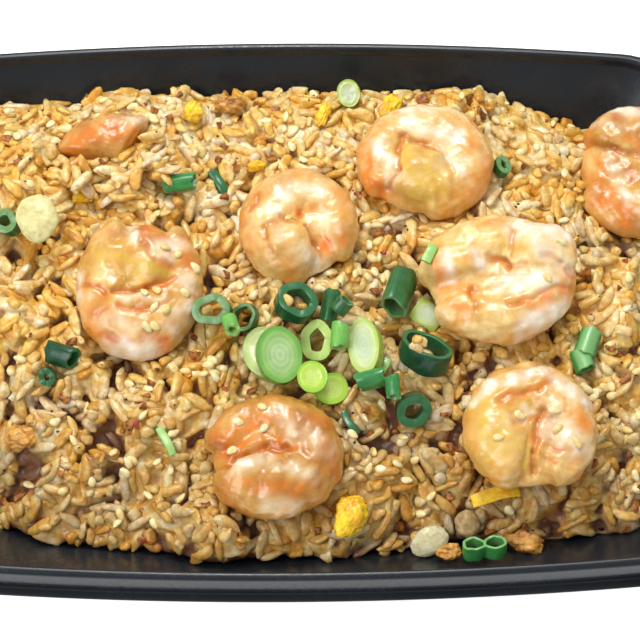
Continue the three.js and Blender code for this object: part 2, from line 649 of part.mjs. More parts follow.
    length: 12, width: 3.4, wall: 1.3, curve: 6, hook: 1.2, lean: 6, heading: -90, spin: 14 },
  { name: 'egg_edge', shape: chunkShape, look: brownedEgg, x: 40.2, y: -68.2,
    length: 5.6, width: 4, height: 3.2, seed: 70, lean: 0, heading: 0, spin: 5 },

  // garlic and pale vegetable pieces
  { name: 'garlic_slice', shape: chunkShape, look: cookedGarlic, x: 35.3, y: -64.3,
    length: 9.6, width: 7, height: 2.6, seed: 71, uneven: 0.08, lean: 16, heading: -80, spin: 24 },
  { name: 'onion_piece', shape: chunkShape, look: cookedGarlic, x: 45, y: -59.2,
    length: 6.2, width: 7, height: 3.6, seed: 72, uneven: 0.1, lean: 12, heading: -80, spin: 20 },
  { name: 'cabbage_piece', shape: chunkShape, look: cookedGarlic, x: -62.8, y: 18.1,
    length: 10.6, width: 13, height: 4.4, seed: 73, uneven: 0.12, lean: 8, heading: -90, spin: 10 },
];

function toppingSolid(topping, grow) {
  const solid = topping.shape(topping, grow);
  return solid.rotate([0, 0, topping.spin - topping.heading])
    .rotate([0, topping.lean, 0])
    .rotate([0, 0, topping.heading]);
}

// ---------------------------------------------------------------- assembly

const STEP_UP = 0.25;

// Puts a piece on the heap, or on the wall where the wall stands above it, pressed in by the
// sink, and lifts it until it clears what lies there.
function settle(piece, clearance, x, y, sink, lying) {
  const wallHeight = SHOULDER.height - shoulderInset(x, y) / Math.tan(UPPER_WALL_LEAN);
  let height = Math.max(heapHeight(x, y), wallHeight) - piece.boundingBox().min[2] - sink;
  while (!clearance.translate([x, y, height]).intersect(lying).isEmpty()) {
    height += STEP_UP;
  }
  return [piece.translate([x, y, height]), clearance.translate([x, y, height])];
}

const group = new THREE.Group();

function addPart(name, solid, look) {
  const material = new THREE.MeshStandardMaterial({ metalness: 0, ...look });
  const mesh = new THREE.Mesh(toGeometry(solid), material);
  mesh.name = name;
  group.add(mesh);
}

const tray = toSolid(trayShell());
addPart('tray', tray, blackPlastic);

let heap = toSolid(heapBlock()).intersect(foodSpace());
let lying = tray;
let toppings = tray;

for (const shrimp of SHRIMP) {
  const { name, x, y, sink = PRESSED_IN } = shrimp;
  const curled = addSeeds(shrimpSolid(shrimp, 0), shrimp);
  const [piece, clearance] = settle(curled, shrimpSolid(shrimp, GAP), x, y, sink, lying);
  lying = lying.add(piece);
  toppings = toppings.add(clearance);
  heap = heap.subtract(clearance);
  addPart(name, piece, shrimpMeat);
}

lying = lying.add(heap);
for (const topping of TOPPINGS) {
  const { name, x, y, look } = topping;
  const [piece, clearance] = settle(toppingSolid(topping, 0), toppingSolid(topping, GAP), x, y, 0, lying);
  lying = lying.add(piece);
  toppings = toppings.add(clearance);
  addPart(name, piece, look);
}

heap = scatterKernels(heap, GRAIN, 0.45, 31, toppings);
heap = scatterKernels(heap, SEED, 0.9, 47, toppings);
addPart('rice', largestPiece(heap), cookedRice);

export default group;
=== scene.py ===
# %% [markdown]
# # Shrimp fried rice in a black takeaway tray
#
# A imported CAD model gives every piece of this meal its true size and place. In this lesson each
# piece gets the shape and the finish of the real food, and the meal is lit on a pale table.

# %% Load the measured model
import math

import bmesh
import bpy
import numpy as np
from mathutils import Matrix, Vector
from mathutils.bvhtree import BVHTree
from mathutils.kdtree import KDTree


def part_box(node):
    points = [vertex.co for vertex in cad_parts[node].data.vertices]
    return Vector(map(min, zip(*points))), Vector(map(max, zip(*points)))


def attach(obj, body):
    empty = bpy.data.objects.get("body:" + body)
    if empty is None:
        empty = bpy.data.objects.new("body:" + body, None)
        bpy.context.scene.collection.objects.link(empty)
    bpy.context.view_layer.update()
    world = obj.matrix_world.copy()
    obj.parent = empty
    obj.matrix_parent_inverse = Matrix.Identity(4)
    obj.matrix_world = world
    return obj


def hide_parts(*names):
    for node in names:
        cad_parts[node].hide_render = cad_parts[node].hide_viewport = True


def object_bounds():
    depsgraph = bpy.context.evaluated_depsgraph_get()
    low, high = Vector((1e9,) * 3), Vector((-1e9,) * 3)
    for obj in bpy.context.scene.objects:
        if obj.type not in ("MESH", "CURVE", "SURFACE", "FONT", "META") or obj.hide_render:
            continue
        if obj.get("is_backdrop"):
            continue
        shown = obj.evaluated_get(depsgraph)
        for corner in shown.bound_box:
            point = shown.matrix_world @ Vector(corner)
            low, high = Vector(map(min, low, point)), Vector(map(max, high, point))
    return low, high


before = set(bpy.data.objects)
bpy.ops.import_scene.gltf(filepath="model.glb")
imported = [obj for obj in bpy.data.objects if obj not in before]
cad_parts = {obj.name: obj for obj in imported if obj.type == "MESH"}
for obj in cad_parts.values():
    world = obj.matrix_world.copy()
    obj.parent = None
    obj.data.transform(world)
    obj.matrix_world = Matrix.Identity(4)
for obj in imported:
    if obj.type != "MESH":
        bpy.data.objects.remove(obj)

MM = 0.001
cad_low, cad_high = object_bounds()
print("model is", [round((high - low) / MM, 1) for low, high in zip(cad_low, cad_high)], "mm")

# %% [markdown]
# ## Working habits
#
# Blender's operators act on whatever is selected, and the loaded model starts out selected. So
# each piece is added with nothing else selected. A finished piece has its place in its mesh and
# its object at the origin, and the solid that it stands for is hidden.


# %% Add, pick and edit a piece
def deselect_all():
    if bpy.context.mode != "OBJECT":
        bpy.ops.object.mode_set(mode="OBJECT")
    bpy.ops.object.select_all(action="DESELECT")


def add_primitive(operator, **settings):
    deselect_all()
    operator(**settings)
    return bpy.context.active_object


def pick(piece, *others):
    deselect_all()
    for each in (piece, *others):
        each.select_set(True)
    bpy.context.view_layer.objects.active = piece


def edit_all(piece):
    pick(piece)
    bpy.ops.object.mode_set(mode="EDIT")
    bpy.ops.mesh.select_all(action="SELECT")


def shade_smooth(piece, sharpest=None):
    """Smooth all over, or only where faces meet at less than the sharpest angle, in degrees."""
    pick(piece)
    if sharpest is None:
        bpy.ops.object.shade_smooth()
    else:
        bpy.ops.object.shade_smooth_by_angle(angle=math.radians(sharpest))


def apply_modifier(piece, kind, **settings):
    pick(piece)
    modifier = piece.modifiers.new(kind.lower(), kind)
    for key, value in settings.items():
        setattr(modifier, key, value)
    bpy.ops.object.modifier_apply(modifier=modifier.name)


# %% Read and write the points of a mesh
def read_points(mesh):
    points = np.empty(len(mesh.vertices) * 3)
    mesh.vertices.foreach_get("co", points)
    return points.reshape(-1, 3)


def write_points(mesh, points):
    mesh.vertices.foreach_set("co", np.ascontiguousarray(points).ravel())
    mesh.update()


def read_normals(mesh):
    normals = np.empty(len(mesh.vertices) * 3)
    mesh.vertex_normals.foreach_get("vector", normals)
    return normals.reshape(-1, 3)


def read_triangles(mesh):
    mesh.calc_loop_triangles()
    triangles = np.empty(len(mesh.loop_triangles) * 3, np.int32)
    mesh.loop_triangles.foreach_get("vertices", triangles)
    return triangles.reshape(-1, 3)


def paint(mesh, name, values):
    layer = mesh.attributes.get(name) or mesh.attributes.new(name, "FLOAT", "POINT")
    layer.data.foreach_set("value", np.ascontiguousarray(values, dtype=np.float32))


print("the model's rice has", len(read_triangles(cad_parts["rice"].data)), "triangles")


# %% Finish a piece
def finish_piece(piece, name, slot, material, *nodes):
    pick(piece)
    bpy.ops.object.transform_apply(location=True, rotation=True, scale=True)
    piece.name = piece.data.name = name
    piece.data.materials.clear()
    piece.data.materials.append(material)
    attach(piece, "root")
    if nodes:
        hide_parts(*nodes)
    print(name, "has", len(read_triangles(piece.data)), "triangles")
    return piece


# %% [markdown]
# ## Shader building blocks
#
# Food is never one flat colour. Two effects are used all over this meal, so each is a node group:
# a mottle that drifts between two colours, and a moist surface whose gloss and fine bumps vary.


# %% Colours
def linear(hex_colour):
    channels = [int(hex_colour[i:i + 2], 16) / 255 for i in (0, 2, 4)]
    return (*(c / 12.92 if c <= 0.04045 else ((c + 0.055) / 1.055) ** 2.4 for c in channels), 1.0)


print("an egg's yellow is", [round(channel, 2) for channel in linear("f4cf1e")[:3]], "in light")


# %% Add and link shader nodes
def feed(tree, socket, source):
    """Links another node's output to the socket, or sets the socket's own value."""
    if isinstance(source, bpy.types.NodeSocket):
        tree.links.new(source, socket)
    else:
        socket.default_value = source


def add_node(tree, kind, links=None, **settings):
    made = tree.nodes.new(kind)
    for key, value in settings.items():
        setattr(made, key, value)
    for socket, source in (links or {}).items():
        feed(tree, made.inputs[socket], source)
    return made


def mix_colour(tree, factor, first, second, blend="MIX"):
    # In colour mode a Mix node's sockets are 0 for the factor, 6 and 7 for the two colours.
    links = {0: factor, 6: first, 7: second}
    return add_node(tree, "ShaderNodeMix", links, data_type="RGBA", blend_type=blend).outputs[2]


def ranged(tree, value, low, high, to_low=0.0, to_high=1.0):
    links = {"Value": value, "From Min": low, "From Max": high, "To Min": to_low, "To Max": to_high}
    return add_node(tree, "ShaderNodeMapRange", links).outputs["Result"]


def maths(tree, operation, *values):
    links = dict(enumerate(values))
    return add_node(tree, "ShaderNodeMath", links, operation=operation).outputs[0]


def object_place(tree):
    return add_node(tree, "ShaderNodeTexCoord").outputs["Object"]


def clouds(tree, scale, detail):
    links = {"Vector": object_place(tree), "Scale": scale, "Detail": detail}
    return add_node(tree, "ShaderNodeTexNoise", links).outputs["Fac"]


def new_group(name, inputs, outputs):
    group = bpy.data.node_groups.new(name, "ShaderNodeTree")
    for label, kind, value in inputs:
        socket = group.interface.new_socket(name=label, in_out="INPUT", socket_type=kind)
        socket.default_value = value
    for label, kind in outputs:
        group.interface.new_socket(name=label, in_out="OUTPUT", socket_type=kind)
    given = add_node(group, "NodeGroupInput").outputs
    return group, given, add_node(group, "NodeGroupOutput").inputs


# %% Mottle
COLOUR, FLOAT, VECTOR = "NodeSocketColor", "NodeSocketFloat", "NodeSocketVector"

mottle, given, out = new_group(
    "Mottle",
    [("Colour A", COLOUR, (1, 1, 1, 1)), ("Colour B", COLOUR, (0, 0, 0, 1)),
     ("Scale", FLOAT, 300.0), ("Spread", FLOAT, 0.15)],
    [("Colour", COLOUR), ("Mask", FLOAT)],
)
low = maths(mottle, "SUBTRACT", 0.5, given["Spread"])
high = maths(mottle, "ADD", 0.5, given["Spread"])
mask = ranged(mottle, clouds(mottle, given["Scale"], 4.0), low, high)
mottle.links.new(mask, out["Mask"])
mottle.links.new(mix_colour(mottle, mask, given["Colour A"], given["Colour B"]), out["Colour"])
print(mottle.name, "has", len(mottle.nodes), "nodes")

# %% Moist surface
moist, given, out = new_group(
    "Moist surface",
    [("Scale", FLOAT, 900.0), ("Bump Height", FLOAT, 0.1), ("Driest", FLOAT, 0.5),
     ("Wettest", FLOAT, 0.2)],
    [("Roughness", FLOAT), ("Normal", VECTOR)],
)
wetness = ranged(moist, clouds(moist, 160.0, 2.0), 0.38, 0.62)
height = maths(moist, "MULTIPLY", clouds(moist, given["Scale"], 3.0), given["Bump Height"])
bump = add_node(moist, "ShaderNodeBump", {"Height": height, "Strength": 1.0, "Distance": MM})
gloss = ranged(moist, wetness, 0.0, 1.0, given["Driest"], given["Wettest"])
moist.links.new(gloss, out["Roughness"])
moist.links.new(bump.outputs["Normal"], out["Normal"])
print(moist.name, "has", len(moist.nodes), "nodes")

# %% [markdown]
# Each finish starts from a Principled shader with its own constants. Then a mottle gives the colour
# and the moist surface gives gloss and bumps, so a new material takes only a few lines.


# %% Start a material
def new_material(name, **constants):
    material = bpy.data.materials.new(name)
    material.use_nodes = True
    tree = material.node_tree
    shader = tree.nodes["Principled BSDF"]
    for socket, value in constants.items():
        shader.inputs[socket.replace("_", " ")].default_value = value
    return material, tree, shader


def use_group(tree, group, **inputs):
    placed = add_node(tree, "ShaderNodeGroup", node_tree=group)
    for socket, source in inputs.items():
        feed(tree, placed.inputs[socket.replace("_", " ")], source)
    return placed.outputs


def mottled(tree, first, second, scale, spread):
    colours = {"Colour_A": linear(first), "Colour_B": linear(second)}
    return use_group(tree, mottle, **colours, Scale=scale, Spread=spread)


def use_moisture(tree, shader, scale, bump_height, driest, wettest):
    surface = use_group(
        tree, moist, Scale=scale, Bump_Height=bump_height, Driest=driest, Wettest=wettest
    )
    for socket in ("Roughness", "Normal"):
        tree.links.new(surface[socket], shader.inputs[socket])


def attribute(tree, name):
    return add_node(tree, "ShaderNodeAttribute", attribute_name=name).outputs["Fac"]


# %% [markdown]
# ## The camera and the table
#
# The meal is seen from 63 degrees above the table with a long lens, so its long sides stay nearly
# parallel.

# %% Camera
TARGET = Vector((8.784, -6.428, 44.0)) * MM
ELEVATION = math.radians(63)
DISTANCE = 700 * MM
LENS, SENSOR = 155.08, 36
ROLL = 0.0053

view = Vector((0, math.cos(ELEVATION), -math.sin(ELEVATION)))
camera_data = bpy.data.cameras.new("camera")
camera_data.lens = LENS
camera_data.sensor_width = SENSOR
camera = bpy.data.objects.new("camera", camera_data)
camera.location = TARGET - view * DISTANCE
camera.rotation_euler = (
    view.to_track_quat("-Z", "Y").to_matrix() @ Matrix.Rotation(-ROLL, 3, "Z")
).to_euler()
bpy.context.scene.collection.objects.link(camera)
bpy.context.scene.camera = camera
bpy.context.scene.view_settings.view_transform = "Standard"
print("the camera stands", round(DISTANCE / MM), "mm away")

# %% Pale table
paper, tree, shader = new_material("pale table", Roughness=0.7)
sweep = mottled(tree, "ffffff", "fbfbfa", 40.0, 0.2)
tree.links.new(sweep["Colour"], shader.inputs["Base Color"])
tree.links.new(sweep["Colour"], shader.inputs["Emission Color"])
shader.inputs["Emission Strength"].default_value = 0.8
table = add_primitive(bpy.ops.mesh.primitive_plane_add, size=6)
table.name = "table"
table.data.materials.append(paper)
table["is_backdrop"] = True
print("the table is", round(table.dimensions.x, 1), "m across")

# %% [markdown]
# Soft boxes are plain area lights. A broad one behind the meal gives the food its sheen, a small
# one at its middle gives the wet spots their core, and a fill from the front opens the shadows.

# %% Soft light
world = bpy.data.worlds.new("studio")
world.use_nodes = True
background = world.node_tree.nodes["Background"].inputs
background["Color"].default_value = (0.96, 0.98, 1.0, 1.0)
background["Strength"].default_value = 0.5
bpy.context.scene.world = world

# Name, place and size in metres, watts and colour. All of them aim at the middle of the heap.
HEAP_MIDDLE = Vector((0, 0, 0.04))
SOFTBOXES = [
    ("key", (-0.03, 0.50, 0.78), 0.5, 4.4, (1.0, 0.99, 0.97)),
    ("hot centre", (-0.03, 0.495, 0.772), 0.12, 1.2, (1.0, 0.99, 0.97)),
    ("fill", (-0.55, -0.25, 0.75), 0.6, 4.0, (0.97, 0.98, 1.0)),
]
for name, place, size, watts, colour in SOFTBOXES:
    data = bpy.data.lights.new(name, "AREA")
    data.shape = "DISK"
    data.size = size
    data.energy = watts
    data.color = colour
    lamp = bpy.data.objects.new(name, data)
    lamp.location = place
    lamp.rotation_euler = (HEAP_MIDDLE - Vector(place)).to_track_quat("-Z", "Y").to_euler()
    bpy.context.scene.collection.objects.link(lamp)
print(len(SOFTBOXES), "lights give", round(sum(row[3] for row in SOFTBOXES), 1), "watts")

# %% [markdown]
# ## The tray
#
# A takeaway tray is one sheet of black plastic, drawn down hot into a mould. Its long sides bow
# outwards for stiffness, and the rim is a round bead over a short skirt and a flange. It could be
# cut from a block with booleans, but a sheet follows one profile all the way round, so the floor
# is extruded ring by ring along that profile, the way a lip is drawn up by hand.

# %% Section of the tray's wall
# Corners of the wall's section, from the underside's middle round the rim to the inside's middle:
# how far in from the flange's edge, how high, and how round.
TRAY_CORNERS = [
    (60, 0.8, 0), (33, 0.8, 0.5), (32, 0, 0.5), (23.77, 0, 6.9), (19.23, 24.58, 2.0),
    (4.4, 40.9, 0.7), (3.1, 41.6, 0.3), (3.1, 34.6, 0.3), (0.05, 34.6, 0.4), (0.05, 35.5, 0.4),
    (2.2, 35.5, 0.45), (2.2, 44, 1.0), (4.4, 44, 0.9), (5.0, 41.8, 1.0), (20.31, 24.8, 2.5),
    (24.52, 0.9, 6.0), (34, 0.9, 0.5), (35, 1.7, 0.5), (60, 1.7, 0),
]


def round_corners(corners, steps=4):
    points = []
    for before, (inset, height, radius), after in zip(corners, corners[1:], corners[2:]):
        corner = Vector((inset, height))
        back = (Vector(before[:2]) - corner).normalized()
        ahead = (Vector(after[:2]) - corner).normalized()
        half = back.angle(ahead) / 2
        centre = corner + (back + ahead).normalized() * radius / math.sin(half)
        start = (corner + back * radius / math.tan(half) - centre).normalized()
        end = (corner + ahead * radius / math.tan(half) - centre).normalized()
        points += [centre + start.slerp(end, i / steps) * radius for i in range(steps + 1)]
    return [Vector(corners[0][:2]), *points, Vector(corners[-1][:2])]


TRAY_PROFILE = round_corners(TRAY_CORNERS)
print("the tray's section has", len(TRAY_PROFILE), "points")

# %% Outline of the tray
HALF_LENGTH, HALF_WIDTH = 113.0, 79.4
END_BOW, SIDE_BOW = 1.5, 5.8
CORNER_RADIUS, CORNER_TIGHTENING = 20.0, 0.3


def tray_stations(end_steps=8, side_steps=26, corner_steps=12):
    stations = []
    corners = [(1, -1), (1, 1), (-1, 1), (-1, -1)]
    for i, start in enumerate(corners):
        end = corners[(i + 1) % 4]
        steps = end_steps if i % 2 == 0 else side_steps
        for step in range(steps):
            share = step / steps
            x, y = (start[k] + (end[k] - start[k]) * share for k in (0, 1))
            stations.append((x, y, math.radians(90 * i)))
        for step in range(corner_steps):
            stations.append((*end, math.radians(90 * (i + step / corner_steps))))
    return stations


def tray_point(station, inset):
    half_length = HALF_LENGTH - END_BOW - inset
    half_width = HALF_WIDTH - SIDE_BOW - inset
    radius = CORNER_RADIUS - CORNER_TIGHTENING * inset
    x = station[0] * (half_length - radius) + math.cos(station[2]) * radius
    y = station[1] * (half_width - radius) + math.sin(station[2]) * radius
    return (
        x * (1 + END_BOW * (1 - (y / half_width) ** 2) / half_length),
        y * (1 + SIDE_BOW * (1 - (x / half_length) ** 2) / half_width),
    )


STATIONS = tray_stations()
print("its outline has", len(STATIONS), "points")

# %% Draw the tray up ring by ring
tray = add_primitive(
    bpy.ops.mesh.primitive_circle_add, vertices=len(STATIONS), radius=50 * MM, fill_type="NGON"
)
bpy.ops.object.mode_set(mode="EDIT")
sheet = bmesh.from_edit_mesh(tray.data)
sheet.verts.layers.int.new("station")
for i, corner in enumerate(sheet.verts):
    corner[sheet.verts.layers.int["station"]] = i

for step, (inset, height) in enumerate(TRAY_PROFILE):
    if step:
        bpy.ops.mesh.extrude_region_move()
    sheet = bmesh.from_edit_mesh(tray.data)
    layer = sheet.verts.layers.int["station"]
    for corner in sheet.verts:
        if corner.select:
            x, y = tray_point(STATIONS[corner[layer]], inset)
            corner.co = Vector((x, y, height)) * MM
    bmesh.update_edit_mesh(tray.data)

bpy.ops.mesh.select_all(action="DESELECT")
sheet = bmesh.from_edit_mesh(tray.data)
for face in sheet.faces:
    face.select = len(face.verts) > 4
bpy.ops.mesh.poke()
bpy.ops.mesh.select_all(action="SELECT")
bpy.ops.mesh.normals_make_consistent(inside=False)
shade_smooth(tray, sharpest=50)
tray.data.attributes.remove(tray.data.attributes["station"])
print("the drawn tray has", len(tray.data.polygons), "faces")

# %% [markdown]
# Moulded plastic is glossy, but it has picked up a little grease, so the highlight on the rim
# breaks up. The grease is only a change of roughness.

# %% Glossy black plastic
black_plastic, tree, shader = new_material(
    "glossy black plastic", IOR=1.46, Specular_IOR_Level=0.36
)
smears = mottled(tree, "1c2024", "262a2f", 35.0, 0.2)
specks = mottled(tree, "000000", "ffffff", 700.0, 0.05)
tree.links.new(smears["Colour"], shader.inputs["Base Color"])
greasy = maths(tree, "MULTIPLY", smears["Mask"], specks["Mask"])
tree.links.new(ranged(tree, greasy, 0.0, 1.0, 0.2, 0.34), shader.inputs["Roughness"])
ripple = {"Height": clouds(tree, 60.0, 2.0), "Distance": 0.12 * MM, "Strength": 0.6}
waviness = add_node(tree, "ShaderNodeBump", ripple)
tree.links.new(waviness.outputs["Normal"], shader.inputs["Normal"])
finish_piece(tray, "takeaway_tray", "black_plastic", black_plastic, "tray")
